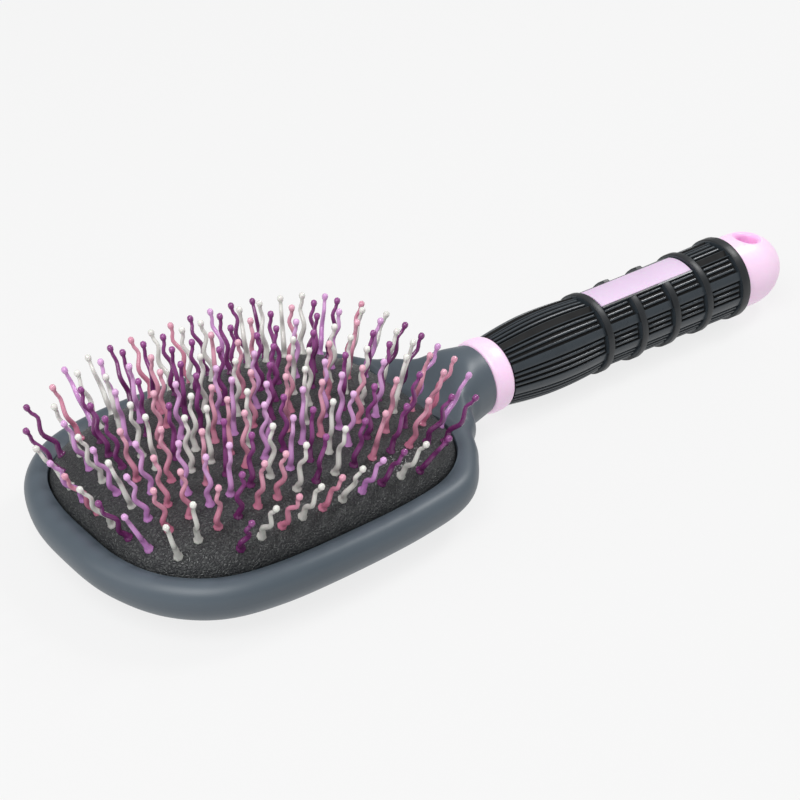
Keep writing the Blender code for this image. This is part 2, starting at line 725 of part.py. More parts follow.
def make_label(label_start, label_end):
    """The bare plate let into the top of the grip."""
    half = math.radians(LABEL_HALF_DEGREES) - FIT_GAP / LABEL_RADIUS
    start = GRIP_X + label_start + BAND_SHOULDER + FIT_GAP
    end = GRIP_X + label_end - BAND_SHOULDER - FIT_GAP
    loops = []
    for x in (start, end):
        loop = []
        for radius, order in ((LABEL_RADIUS, 1), (LABEL_RADIUS - LABEL_THICKNESS, -1)):
            row = []
            for i in range(LABEL_SEGMENTS + 1):
                angle = -half + 2 * half * i / LABEL_SEGMENTS
                row.append((x, -radius * math.sin(angle), AXIS_HEIGHT + radius * math.cos(angle)))
            loop += row[::order]
        loops.append(loop)
    return add_object("label_plate", skin_loops(loops), "pale_pink")


def make_cap():
    """The domed end cap with its hanging hole and the socket for the tang."""
    profile = [(CAP_X, CAP_RADIUS - FIT_GAP), (CAP_X + CAP_DOME_START / 2, CAP_RADIUS)]
    dome = CAP_LENGTH - CAP_DOME_START
    for i in range(CAP_DOME_STEPS):
        angle = math.pi / 2 * i / CAP_DOME_STEPS
        place = CAP_X + CAP_DOME_START + dome * math.sin(angle)
        profile.append((place, CAP_RADIUS * math.cos(angle)))
    profile.append((CAP_X + CAP_LENGTH, CAP_RADIUS * CAP_TIP_SHARE))
    cap = add_object("end_cap", turned(profile, ROUND_SIDES), "pale_pink")
    hole_x = CAP_X + HANG_HOLE_PLACE
    hole_loops = []
    for height, flare in HANG_HOLE_SHARES:
        radius = HANG_HOLE_RADIUS + HANG_HOLE_MOUTH * flare
        z = AXIS_HEIGHT + CAP_RADIUS * height
        loop = []
        for i in range(TANG_SIDES):
            angle = math.tau * i / TANG_SIDES
            loop.append((hole_x + radius * math.cos(angle), radius * math.sin(angle), z))
        hole_loops.append(loop)
    boolean(cap, as_cutter(add_object("hang_hole_cut", skin_loops(hole_loops))), "DIFFERENCE")
    socket = rod_along_x(CAP_X - CUT_OVERRUN, CAP_X + CAP_SOCKET_DEPTH, TANG_RADIUS + FIT_GAP)
    boolean(cap, as_cutter(add_object("socket_cut", socket)), "DIFFERENCE")
    return cap


def main():
    for thing in list(bpy.data.objects):
        bpy.data.objects.remove(thing, do_unlink=True)
    make_head()
    make_core()
    make_cushion_edge()
    pad = make_cushion_pad()
    pins = make_pins()
    make_collar()
    label_start, label_end = make_grip()
    make_label(label_start, label_end)
    make_cap()

    # The cushion and its pins sink together, so they hang from one empty on the slide's line
    carrier = bpy.data.objects.new("cushion_travel", None)
    carrier.location = (OPENING_X, 0, AXIS_HEIGHT)
    bpy.context.scene.collection.objects.link(carrier)
    bpy.context.view_layer.update()
    for thing in [pad] + pins:
        thing.parent = carrier
        thing.matrix_parent_inverse = carrier.matrix_world.inverted()


main()
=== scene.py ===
"""Looks of the cushioned mane brush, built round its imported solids.

The brush lies on its back with its pins up, in a pale studio. Lengths are in metres. +X runs
from the head to the cap, +Z up through the pins.
"""
import math
import random

import bmesh
import bpy
from mathutils import Matrix, Vector


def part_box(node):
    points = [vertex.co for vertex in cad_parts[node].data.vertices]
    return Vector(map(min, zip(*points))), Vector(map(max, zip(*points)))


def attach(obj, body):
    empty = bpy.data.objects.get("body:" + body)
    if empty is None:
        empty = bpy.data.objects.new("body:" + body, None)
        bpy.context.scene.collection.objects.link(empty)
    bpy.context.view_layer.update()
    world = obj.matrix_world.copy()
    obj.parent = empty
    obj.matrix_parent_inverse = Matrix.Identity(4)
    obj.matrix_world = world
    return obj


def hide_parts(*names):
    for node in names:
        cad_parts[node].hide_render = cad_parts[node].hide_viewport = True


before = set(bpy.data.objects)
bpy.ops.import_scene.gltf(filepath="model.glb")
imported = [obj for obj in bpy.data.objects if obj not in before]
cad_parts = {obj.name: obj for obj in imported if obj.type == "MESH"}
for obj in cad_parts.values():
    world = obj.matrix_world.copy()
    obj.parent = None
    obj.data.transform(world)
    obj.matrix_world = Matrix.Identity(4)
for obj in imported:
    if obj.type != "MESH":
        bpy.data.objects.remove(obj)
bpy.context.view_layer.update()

# Head back and front frame
# The head is a stiff paddle in two halves that clamp the cushion's edge. Both are covered by
# one soft-touch elastomer, moulded over them, so the seam round the side is closed and flush.
MM = 0.001
WELD = 0.002 * MM

rim_low, rim_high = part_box("head_front_frame")
collar_low, collar_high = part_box("neck_collar")
HEAD_TIP_X = rim_low.x
HEAD_LENGTH = rim_high.x - rim_low.x
HEAD_HALF_WIDTH = 48.5 * MM
AXIS_Z = (collar_low.z + collar_high.z) / 2
SEAM_Z = AXIS_Z - 2 * MM
SEAM_GAP = 0.003 * MM
RIM_WIDTH = 7.9 * MM
CREST_INSET = 4.2 * MM
RIM_RISE = 4.2 * MM
RIM_FALL = 1.7 * MM
RIM_FALL_POWER = 1.7
LIP_BLUNTNESS = 6
WIDEST_DROP = 0.2 * MM
BACK_SWEEP = 21 * MM
NECK_RADIUS = 10.4 * MM
NECK_HEIGHT = 12.4 * MM
NECK_BLUNTNESS = 10
NECK_SMOOTHINGS = 80
NECK_SMOOTHING = 0.5
RIM_NECK_SHARES = (0.815, 0.94)
SPINE_NECK_SHARES = (0.855, 0.965)

# Steps of a section over the rim: up to the crest, down to the lip, and on to the middle line
CREST_STEP = 4
LIP_STEP = 6
SPINE_STEP = 7

OPENING_POWER = 3.4
OPENING_START_X = HEAD_TIP_X + RIM_WIDTH
OPENING_END_X = rim_high.x - 23.8 * MM
OPENING_X = (OPENING_START_X + OPENING_END_X) / 2
OPENING_HALF_LENGTH = (OPENING_END_X - OPENING_START_X) / 2
OPENING_HALF_WIDTH = HEAD_HALF_WIDTH - RIM_WIDTH
OPENING_ROUND = 0.45 * MM

# Each row: along the head, half width, and the point of the middle line that its section meets
HEAD_OUTLINE_SHARES = (
    (0.000, 0.000, 0.340),
    (0.010, 0.344, 0.345),
    (0.058, 0.668, 0.360),
    (0.145, 0.891, 0.385),
    (0.269, 0.986, 0.420),
    (0.440, 1.000, 0.470),
    (0.621, 0.965, 0.530),
    (0.744, 0.880, 0.585),
    (0.820, 0.662, 0.650),
    (0.856, 0.501, 0.740),
    (0.886, 0.414, 0.840),
    (0.912, 0.287, 0.900),
    (0.948, 0.254, 0.948),
    (1.000, NECK_RADIUS / HEAD_HALF_WIDTH, 1.000),
)
OUTLINE_SPANS = len(HEAD_OUTLINE_SHARES) - 1
ROWS_PER_SPAN = 14
HALVINGS = 40

# How many steps a section takes: up the side, over the rim, round the opening's edge, down a
# wall, round under the side, and along the flat back
SIDE_STEPS = 3
TOP_STEPS = 30
ROUND_STEPS = 4
WALL_STEPS = 3
UNDER_STEPS = 24
FLAT_STEPS = 4


def blend(start, end, share):
    """The value that lies a share of the way from one to another."""
    return start + (end - start) * share


def ease(share, start, end):
    """A smooth step from 0 to 1 between two shares."""
    t = min(max((share - start) / (end - start), 0.0), 1.0)
    return t * t * (3 - 2 * t)


def outline_row(place):
    """Where a section starts and ends at a place along the outline, and how far it is neck."""
    knots = [list(row) for row in HEAD_OUTLINE_SHARES]
    before = [knots[1][0], -knots[1][1], knots[1][2]]
    after = [2 * a - b for a, b in zip(knots[-1], knots[-2])]
    knots = [before] + knots + [after]
    span = min(int(place), OUTLINE_SPANS - 1)
    t = place - span
    values = []
    for a, b, c, d in zip(*knots[span:span + 4]):
        curve = 2 * b + (c - a) * t + (2 * a - 5 * b + 4 * c - d) * t ** 2
        curve += (3 * b - a - 3 * c + d) * t ** 3
        values.append(curve / 2)
    x_share, width_share, spine_share = values
    rim = Vector((HEAD_TIP_X + HEAD_LENGTH * x_share, HEAD_HALF_WIDTH * width_share, 0))
    spine = Vector((HEAD_TIP_X + HEAD_LENGTH * spine_share, 0, 0))
    depth = (spine - rim).length
    return {
        "rim": rim,
        "spine": spine,
        "depth": depth,
        "inward": (spine - rim).normalized(),
        "rise": depth / (1 + (depth / NECK_HEIGHT) ** NECK_BLUNTNESS) ** (1 / NECK_BLUNTNESS),
        "rim_neck": ease(x_share, *RIM_NECK_SHARES),
        "spine_neck": ease(spine_share, *SPINE_NECK_SHARES),
    }


def skin_point(row, inset, height, turn):
    """A point of the head's skin, between its flat section and the neck's round one."""
    round_inset = row["depth"] * (1 - math.cos(turn))
    neck = row["rim_neck"]
    if turn > 0:
        neck = blend(neck, row["spine_neck"], round_inset / row["depth"])
    inset = blend(min(inset, row["depth"]), round_inset, row["rim_neck"])
    point = row["rim"] + row["inward"] * inset
    point.z = AXIS_Z + blend(height - WIDEST_DROP, row["rise"] * math.sin(turn), neck)
    return point


def top_point(row, step):
    """The skin above the widest line, by steps."""
    if step <= CREST_STEP:
        angle = math.pi / 2 * step / CREST_STEP
        inset = CREST_INSET * (1 - math.cos(angle))
        height = RIM_RISE * math.sin(angle)
    else:
        inset = blend(CREST_INSET, RIM_WIDTH, (step - CREST_STEP) / (LIP_STEP - CREST_STEP))
        if step > LIP_STEP:
            inset = blend(RIM_WIDTH, row["depth"], step - LIP_STEP)
        fall = ((inset - CREST_INSET) / (RIM_WIDTH - CREST_INSET)) ** RIM_FALL_POWER
        height = RIM_RISE - RIM_FALL * fall / (1 + fall ** LIP_BLUNTNESS) ** (1 / LIP_BLUNTNESS)
    return skin_point(row, inset, height, math.pi / 2 * step / SPINE_STEP)


def under_point(row, angle):
    """The skin below the widest line, by an angle that reaches a right angle on the flat back."""
    inset = min(BACK_SWEEP, row["depth"]) * (1 - math.cos(angle))
    return skin_point(row, inset, (WIDEST_DROP - AXIS_Z) * math.sin(angle), -angle)


def seam_angle(row, z):
    """The angle below the widest line at which the skin comes down to a height."""
    neck = row["rim_neck"]
    drop = AXIS_Z - z - WIDEST_DROP * (1 - neck)
    return math.asin(drop / blend(AXIS_Z - WIDEST_DROP, row["rise"], neck))


def opening_reach(point, grow):
    """Above 1 outside the cushion's opening, grown by a length, and below 1 inside it."""
    along = abs(point.x - OPENING_X) / (OPENING_HALF_LENGTH + grow)
    across = abs(point.y) / (OPENING_HALF_WIDTH + grow)
    return along ** OPENING_POWER + across ** OPENING_POWER


def turning_point(low, high, holds):
    """Where a test that holds at the low end stops holding, found by halving."""
    for _ in range(HALVINGS):
        middle = (low + high) / 2
        if holds(middle):
            low = middle
        else:
            high = middle
    return low


def opening_step(row):
    """The step over the rim at which a section comes to the opening's rounded edge."""
    def outside(step):
        return opening_reach(top_point(row, step), OPENING_ROUND) >= 1

    return SPINE_STEP if outside(SPINE_STEP) else turning_point(CREST_STEP, SPINE_STEP, outside)


def outline_places():
    """Places along half the outline, with one where the opening's end meets the middle line."""
    def before_end(place):
        return outline_row(place)["spine"].x < OPENING_END_X + OPENING_ROUND

    end = turning_point(0, OUTLINE_SPANS, before_end)
    before = round(ROWS_PER_SPAN * end)
    after = ROWS_PER_SPAN * OUTLINE_SPANS - before
    places = [end * i / before for i in range(before)]
    return places + [blend(end, OUTLINE_SPANS, i / after) for i in range(after + 1)]


def frame_section(place):
    """Up the outside, over the rim, down the opening's wall and back along the seam."""
    row = outline_row(place)
    start = seam_angle(row, SEAM_Z + SEAM_GAP)
    points = [under_point(row, start * (1 - i / SIDE_STEPS)) for i in range(SIDE_STEPS)]
    last = opening_step(row)
    points += [top_point(row, last * i / TOP_STEPS) for i in range(TOP_STEPS + 1)]
    lip = points[-1]
    inner = lip.copy()
    shrunk = OPENING_HALF_LENGTH / (OPENING_HALF_LENGTH + OPENING_ROUND)
    inner.x = OPENING_X + (lip.x - OPENING_X) * shrunk
    inner.y *= OPENING_HALF_WIDTH / (OPENING_HALF_WIDTH + OPENING_ROUND)
    for i in range(1, ROUND_STEPS + 1):
        angle = math.pi / 2 * i / ROUND_STEPS
        point = lip.lerp(inner, math.sin(angle))
        point.z = lip.z - OPENING_ROUND * (1 - math.cos(angle))
        points.append(point)
    foot = Vector((inner.x, inner.y, SEAM_Z + SEAM_GAP))
    corner = points[-1]
    points += [corner.lerp(foot, i / WALL_STEPS) for i in range(1, WALL_STEPS + 1)]
    return points + [foot.lerp(points[0], i / WALL_STEPS) for i in range(1, WALL_STEPS + 1)]


def back_section(place):
    """From the seam down round the side and along the flat back, then back up to the seam."""
    row = outline_row(place)
    start = seam_angle(row, SEAM_Z - SEAM_GAP)
    angles = [blend(start, math.pi / 2, i / UNDER_STEPS) for i in range(UNDER_STEPS + 1)]
    points = [under_point(row, angle) for angle in angles]
    edge = points[-1]
    middle = Vector((row["spine"].x, 0, edge.z))
    points += [edge.lerp(middle, i / FLAT_STEPS) for i in range(1, FLAT_STEPS + 1)]
    middle = Vector((row["spine"].x, 0, SEAM_Z - SEAM_GAP))
    return points + [middle.lerp(points[0], i / WALL_STEPS) for i in range(WALL_STEPS + 1)]


def loft(bm, sections):
    """Add a skin of quads through sections of equally many points; returns its vertices."""
    columns, rows = len(sections) - 1, len(sections[0]) - 1
    made = bmesh.ops.create_grid(bm, x_segments=columns, y_segments=rows, size=1)["verts"]
    for vert in made:
        i = round((vert.co.x + 1) / 2 * columns)
        j = round((vert.co.y + 1) / 2 * rows)
        vert.co = sections[i][j]
    return made


def close(bm):
    """Weld what meets, fill what is left open, and turn every face outwards."""
    bmesh.ops.remove_doubles(bm, verts=bm.verts, dist=WELD)
    edges = [edge for edge in bm.edges if edge.is_boundary]
    if edges:
        bmesh.ops.holes_fill(bm, edges=edges, sides=0)
    bmesh.ops.recalc_face_normals(bm, faces=bm.faces)


def make_piece(name, bm, materials, smooth_degrees=35):
    """A named object from a closed shape, shaded smooth up to an angle."""
    mesh = bpy.data.meshes.new(name)
    bm.to_mesh(mesh)
    bm.free()
    mesh.shade_smooth()
    mesh.set_sharp_from_angle(angle=math.radians(smooth_degrees))
    for material in materials:
        mesh.materials.append(material)
    piece = bpy.data.objects.new(name, mesh)
    bpy.context.scene.collection.objects.link(piece)
    return piece


def cut(piece, bm):
    """Cut one closed shape out of a piece."""
    close(bm)
    cutter = make_piece("cutter", bm, [])
    modifier = piece.modifiers.new("cut", "BOOLEAN")
    modifier.solver = "EXACT"
    modifier.operation = "DIFFERENCE"
    modifier.object = cutter
    graph = bpy.context.evaluated_depsgraph_get()
    mesh = bpy.data.meshes.new_from_object(piece.evaluated_get(graph))
    piece.modifiers.clear()
    old = piece.data
    piece.data = mesh
    bpy.data.meshes.remove(old)
    bpy.data.objects.remove(cutter)


def head_half(section):
    """One half of the head: its sections on both sides, joined across the middle line."""
    half = [section(place) for place in outline_places()]
    mirrored = [[Vector((p.x, -p.y, p.z)) for p in points] for points in half[:0:-1]]
    bm = bmesh.new()
    loft(bm, mirrored + half)
    inner = [face for face in bm.faces if all(abs(vert.co.y) < WELD for vert in face.verts)]
    bmesh.ops.delete(bm, geom=inner, context="FACES")
    close(bm)
    return bm


def linear(colour):
    """A hex colour in sRGB as linear red, green and blue, with full alpha."""
    parts = [int(colour[i:i + 2], 16) / 255 for i in (1, 3, 5)]
    return (*[p / 12.92 if p <= 0.04045 else ((p + 0.055) / 1.055) ** 2.4 for p in parts], 1.0)


def new_material(name, **sockets):
    """A material with its Principled shader, whose sockets are given by name."""
    material = bpy.data.materials.new(name)
    material.use_nodes = True
    shader = material.node_tree.nodes["Principled BSDF"]
    for socket, value in sockets.items():
        shader.inputs[socket.replace("_", " ")].default_value = value
    return material, shader


def add_node(material, kind, inputs, **settings):
    """One shader node with its settings, and its inputs as values or as links."""
    node = material.node_tree.nodes.new(kind)
    for name, value in settings.items():
        setattr(node, name, value)
    for name, value in inputs.items():
        if isinstance(value, bpy.types.NodeSocket):
            material.node_tree.links.new(value, node.inputs[name])
        else:
            node.inputs[name].default_value = value
    return node


def link_finish(material, shader, **outputs):
    """Link node outputs to the sockets of the Principled shader that they are named for."""
    for socket, output in outputs.items():
        material.node_tree.links.new(output, shader.inputs[socket.replace("_", " ")])


BLOOM_SIZE = 28 * MM
SKIN_SIZE = 0.35 * MM
SKIN_RELIEF = 0.05 * MM


def soft_touch_elastomer():
    """Moulded thermoplastic elastomer: matt and blue grey, with a faint bloom that handling leaves."""
    material, shader = new_material("soft_touch_elastomer", IOR=1.5)
    place = add_node(material, "ShaderNodeTexCoord", {}).outputs["Object"]
    bloom = add_node(material, "ShaderNodeTexNoise", {
        "Vector": place, "Scale": 1 / BLOOM_SIZE, "Detail": 3.0,
    })
    colour = add_node(material, "ShaderNodeMix", {
        "Factor": bloom.outputs["Fac"], "A": linear("#454f57"), "B": linear("#4f5962"),
    }, data_type="RGBA")
    wear = add_node(material, "ShaderNodeMapRange", {
        "Value": bloom.outputs["Fac"], "From Min": 0.3, "From Max": 0.7, "To Min": 0.38, "To Max": 0.46,
    })
    skin = add_node(material, "ShaderNodeTexNoise", {
        "Vector": place, "Scale": 1 / SKIN_SIZE, "Detail": 2.0,
    })
    bump = add_node(material, "ShaderNodeBump", {
        "Height": skin.outputs["Fac"], "Strength": 0.12, "Distance": SKIN_RELIEF,
    })
    link_finish(material, shader, Base_Color=colour.outputs["Result"],
                Roughness=wear.outputs["Result"], Normal=bump.outputs["Normal"])
    return material


def soften_neck(bm):
    """Ease the frame's skin where the flat rim turns into the round neck."""
    start, end = OPENING_END_X + 2 * OPENING_ROUND, rim_high.x - OPENING_ROUND
    neck = [vert for vert in bm.verts if start < vert.co.x < end and vert.co.z > AXIS_Z + WIDEST_DROP]
    for _ in range(NECK_SMOOTHINGS):
        bmesh.ops.smooth_vert(bm, verts=neck, factor=NECK_SMOOTHING, use_axis_z=True)
    return bm


soft_touch = soft_touch_elastomer()
head_frame = make_piece("soft_touch_frame", soften_neck(head_half(frame_section)), [soft_touch])
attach(head_frame, "brush_body")
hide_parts("head_front_frame")

# The back is hollow where the core lies: a tray under the cushion, a spur, and a round bore
FIT_GAP = 0.3 * MM
OVERRUN = 5 * MM
TANG_RADIUS = 5.5 * MM
TANG_START_X = rim_high.x - 10.5 * MM
SPUR_HALF_WIDTH = 4.5 * MM
SPUR_THICKNESS = 2.9 * MM
SPUR_LAP = 5 * MM
TRAY_TOP_Z = AXIS_Z - 4.3 * MM
TRAY_FLOOR_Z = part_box("paddle_core")[0].z
TRAY_SHOULDER_SHARE = 0.475
# Each row: how far the tray's outside reaches past the opening, and its height
TRAY_ROWS = (
    (-6.5 * MM, TRAY_FLOOR_Z),
    (0.2 * MM, blend(TRAY_TOP_Z, TRAY_FLOOR_Z, TRAY_SHOULDER_SHARE)),
    (2.4 * MM, TRAY_TOP_Z),
)
OPENING_SIDES = 160
ROD_SIDES = 48


def opening_loop(reach, z, share=1.0):
    """The opening's outline, grown by a reach and shrunk to a share, at one height."""
    points = []
    for i in range(OPENING_SIDES + 1):
        angle = math.tau * i / OPENING_SIDES
        cosine, sine = math.cos(angle), math.sin(angle)
        size = (abs(cosine) ** OPENING_POWER + abs(sine) ** OPENING_POWER) ** (-1 / OPENING_POWER)
        x = OPENING_X + (OPENING_HALF_LENGTH + reach) * share * cosine * size
        points.append(Vector((x, (OPENING_HALF_WIDTH + reach) * share * sine * size, z)))
    return points


def rod(start, end, radius):
    """A plain rod along the handle."""
    bm = bmesh.new()
    place = Matrix.Translation(((start + end) / 2, 0, AXIS_Z)) @ Matrix.Rotation(math.pi / 2, 4, "Y")
    bmesh.ops.create_cone(bm, cap_ends=True, segments=ROD_SIDES, radius1=radius, radius2=radius,
                          depth=end - start, matrix=place)
    return bm


head_back = make_piece("soft_touch_back", head_half(back_section), [soft_touch])
cavity = bmesh.new()
loops = [opening_loop(reach + FIT_GAP, z - FIT_GAP) for reach, z in TRAY_ROWS]
loft(cavity, loops + [opening_loop(TRAY_ROWS[-1][0] + FIT_GAP, SEAM_Z + OVERRUN)])
cut(head_back, cavity)
spur_room = bmesh.new()
spur_start = OPENING_END_X - FIT_GAP
spur_end = TANG_START_X + SPUR_LAP + FIT_GAP
bmesh.ops.create_cube(spur_room, size=1)
bmesh.ops.scale(spur_room, verts=spur_room.verts, vec=(
    spur_end - spur_start, 2 * (SPUR_HALF_WIDTH + FIT_GAP), SPUR_THICKNESS + 2 * FIT_GAP))
bmesh.ops.translate(spur_room, verts=spur_room.verts, vec=(
    (spur_start + spur_end) / 2, 0, TRAY_TOP_Z - SPUR_THICKNESS / 2))
cut(head_back, spur_room)
for half in (head_back, head_frame):
    cut(half, rod(TANG_START_X - FIT_GAP, rim_high.x + OVERRUN, TANG_RADIUS + FIT_GAP))
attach(head_back, "brush_body")
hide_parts("head_back_shell")

# Core
# One injection-moulded tray, spur and tang that the head closes round and the handle slides
# over. It is glass-filled polypropylene, and hardly anything of it shows.
FIBRE_SIZE = 0.4 * MM
FIBRE_STRETCH_SHARE = 0.2


def filled_polypropylene():
    """Glass-filled polypropylene, as moulded: near black and satin, with fine fibre streaks."""
    material, shader = new_material("filled_polypropylene", IOR=1.49)
    place = add_node(material, "ShaderNodeTexCoord", {}).outputs["Object"]
    stretched = add_node(material, "ShaderNodeMapping", {
        "Vector": place, "Scale": (FIBRE_STRETCH_SHARE, 1.0, 1.0),
    })
    fibre = add_node(material, "ShaderNodeTexNoise", {
        "Vector": stretched.outputs["Vector"], "Scale": 1 / FIBRE_SIZE, "Detail": 3.0,
    })
    colour = add_node(material, "ShaderNodeMix", {
        "Factor": fibre.outputs["Fac"], "A": linear("#1d1e1f"), "B": linear("#2c2d2f"),
    }, data_type="RGBA")
    rough = add_node(material, "ShaderNodeMapRange", {
        "Value": fibre.outputs["Fac"], "To Min": 0.38, "To Max": 0.5,
    })
    link_finish(material, shader, Base_Color=colour.outputs["Result"], Roughness=rough.outputs["Result"])
    return material


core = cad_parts["paddle_core"]
core.data.materials.clear()
core.data.materials.append(filled_polypropylene())

# Cushion
# An air cushion moulded in rubber with a leather grain. Its flat edge is clamped between the
# frame and the tray, and its dome sinks when the brush is pressed.
CUSHION_CLEARANCE = 0.35 * MM
CUSHION_HALF_LENGTH = OPENING_HALF_LENGTH - CUSHION_CLEARANCE
CUSHION_HALF_WIDTH = OPENING_HALF_WIDTH - CUSHION_CLEARANCE
CUSHION_EDGE_Z = AXIS_Z + 2.4 * MM
CUSHION_DOME = 11.7 * MM
DOME_POWER = 3.6
DOME_SHOULDER_POWER = 0.58
DOME_RINGS = 60
SKIRT_DEPTH = 3.6 * MM
SKIRT_WALL = 2 * MM
CUSHION_WALL = 2.65 * MM
UNDERSIDE_SHARE = 0.93
UNDERSIDE_RINGS = 16


def dome_spread(x, y):
    """From 0 in the middle of the cushion to 1 at its edge."""
    along = abs(x - OPENING_X) / CUSHION_HALF_LENGTH
    across = abs(y) / CUSHION_HALF_WIDTH
    return (along ** OPENING_POWER + across ** OPENING_POWER) ** (1 / OPENING_POWER)


def dome_z(x, y):
    """Height of the cushion's outer surface: flat on top, steep at the edge."""
    fall = min(dome_spread(x, y), 1.0) ** DOME_POWER
    return CUSHION_EDGE_Z + CUSHION_DOME * (1 - fall) ** DOME_SHOULDER_POWER


def dome_loop(share, drop):
    """A loop on the dome, lowered by a drop."""
    points = opening_loop(-CUSHION_CLEARANCE, 0, share)
    for point in points:
        point.z = dome_z(point.x, point.y) - drop
    return points


def cushion_shape():
    """Dome, skirt and hollow underside, as one closed skin; loops crowd where the dome is steep."""
    loops = [dome_loop(math.sin(math.pi / 2 * i / DOME_RINGS), 0) for i in range(DOME_RINGS + 1)]
    skirt_z = CUSHION_EDGE_Z - SKIRT_DEPTH
    loops.append(opening_loop(-CUSHION_CLEARANCE, skirt_z))
    loops.append(opening_loop(-CUSHION_CLEARANCE - SKIRT_WALL, skirt_z))
    for i in range(UNDERSIDE_RINGS + 1):
        loops.append(dome_loop(UNDERSIDE_SHARE * (1 - i / UNDERSIDE_RINGS), CUSHION_WALL))
    bm = bmesh.new()
    loft(bm, loops)
    close(bm)
    return bm


# The real grain is about 0.4 mm; it is drawn twice as coarse so that the render shows it
PEBBLE_SIZE = 0.9 * MM
PEBBLE_RELIEF = 0.16 * MM
CREASE_SHARE = 0.25
GRAIN_DRIFT = 1.2 * MM
# Size of the pale specks of painted glint
GLINT_SPECK_SIZE = 0.6 * MM
WORN_SIZE = 9 * MM


def grained_rubber():
    """Moulded rubber with a leather grain: black and dull, with pale specks painted on as glints of
    light on the grain.
    """
    material, shader = new_material("grained_rubber", IOR=1.52)
    place = add_node(material, "ShaderNodeTexCoord", {}).outputs["Object"]
    drift = add_node(material, "ShaderNodeTexNoise", {
        "Vector": place, "Scale": 1 / GRAIN_DRIFT, "Detail": 2.0,
    })
    bent = add_node(material, "ShaderNodeVectorMath", {
        0: drift.outputs["Color"], 1: (GRAIN_DRIFT, GRAIN_DRIFT, GRAIN_DRIFT), 2: place,
    }, operation="MULTIPLY_ADD")
    pebble = add_node(material, "ShaderNodeTexVoronoi", {
        "Vector": bent.outputs["Vector"], "Scale": 1 / PEBBLE_SIZE, "Randomness": 1.0,
    }, feature="DISTANCE_TO_EDGE")
    crease = add_node(material, "ShaderNodeMapRange", {
        "Value": pebble.outputs["Distance"], "From Min": 0.0, "From Max": CREASE_SHARE,
    })
    wear = add_node(material, "ShaderNodeTexNoise", {
        "Vector": place, "Scale": 1 / WORN_SIZE, "Detail": 3.0,
    })
    colour = add_node(material, "ShaderNodeMix", {
        "Factor": wear.outputs["Fac"], "A": linear("#1c1d1f"), "B": linear("#27292b"),
    }, data_type="RGBA")
    # Painted glints: small pale specks mixed into the colour stand in for light sparkling on the grain.
    speck = add_node(material, "ShaderNodeTexNoise", {
        "Vector": place, "Scale": 1 / GLINT_SPECK_SIZE, "Detail": 1.0,
    })
    glint_mask = add_node(material, "ShaderNodeMapRange", {
        "Value": speck.outputs["Fac"], "From Min": 0.5, "From Max": 0.8, "To Min": 0.0, "To Max": 0.16,
    })
    glinted = add_node(material, "ShaderNodeMix", {
        "Factor": glint_mask.outputs["Result"], "A": colour.outputs["Result"], "B": linear("#9aa09a"),
    }, data_type="RGBA")
    rough = add_node(material, "ShaderNodeMapRange", {
        "Value": crease.outputs["Result"], "To Min": 0.58, "To Max": 0.34,
    })
    bump = add_node(material, "ShaderNodeBump", {
        "Height": crease.outputs["Result"], "Strength": 1.0, "Distance": PEBBLE_RELIEF,
    })
    link_finish(material, shader, Base_Color=glinted.outputs["Result"],
                Roughness=rough.outputs["Result"], Normal=bump.outputs["Normal"])
    return material


cushion_rubber = grained_rubber()
cushion = make_piece("grained_cushion", cushion_shape(), [cushion_rubber])
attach(cushion, "cushion")
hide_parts("cushion_pad")
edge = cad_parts["cushion_edge"]
edge.data.materials.clear()
edge.data.materials.append(cushion_rubber)

# Pins
# Wavy nylon pins with ball tips, one moulding each, pushed through the cushion from below in
# straight rows. Their flared feet hold them, and four colours are mixed along every row.
ROW_COUNT = 11
ROW_INSET = 4.8 * MM
PIN_PITCH = 6.1 * MM
FIELD_INSET = 3.2 * MM
FIELD_POWER = 3.6
FIELD_HALF_LENGTH = CUSHION_HALF_LENGTH - FIELD_INSET
FIELD_HALF_WIDTH = CUSHION_HALF_WIDTH - FIELD_INSET
PIN_LENGTH = 16.6 * MM
PIN_SIDES = 7
PIN_SPLAY_DEGREES = 46.5
PIN_SPLAY_POWER = 2.9
PIN_WAVE = 0.85 * MM
WAVE_SHARES = (0.05, 0.93)
WAVE_FADE_SHARE = 0.2
WAVE_TURNS = 1.5
SHAFT_SHARES = (0.07, 0.935)
SHAFT_RINGS = 15
SLOPE_SHARE = 0.01
SHAFT_FOOT_RADIUS = 0.84 * MM
SHAFT_END_RADIUS = 0.52 * MM
PIN_SEED = 7
# Heights between which the nylon turns from painted shade low on the pin to painted light at its top;
# the balls stop short of the second
PAINTED_LIGHT_START_Z = 25 * MM
PAINTED_LIGHT_END_Z = 52 * MM
CLOUD_SIZE = 5 * MM
CLOUD_SHARE = 0.35
GLOW_DEPTH = 0.8 * MM
# Each row: share of the pin's length, and the radius there
FOOT_ROWS = (
    (-0.030, 0.00 * MM),
    (-0.030, 1.35 * MM),
    (0.014, 1.32 * MM),
    (0.034, 1.05 * MM),
)
BALL_ROWS = (
    (0.955, 0.78 * MM),
    (1.000, 0.95 * MM),
    (1.040, 0.72 * MM),
    (1.060, 0.00 * MM),
)
# One word per row, one letter per pin: purple, lilac, rose and white
PIN_COLOURS = (
    "PWRWRWLPWP",
    "WWRPRRWPWPRPRPP",
    "LRRLLPWLPWLPRPRL",
    "PLRLRPRLPLRLRLWRR",
    "WWLRWWRWLRWLPWPWL",
    "RLRWPWRLRPRWRWPWP",
    "LWPWRLPLWLPWPWRLP",
    "WLPLPRPWPRPPLPLWW",
    "PWPWLRPPRPRPRPPR",
    "PRWLPPPWWPWWWWL",
    "LWPRWRPLPP",
)


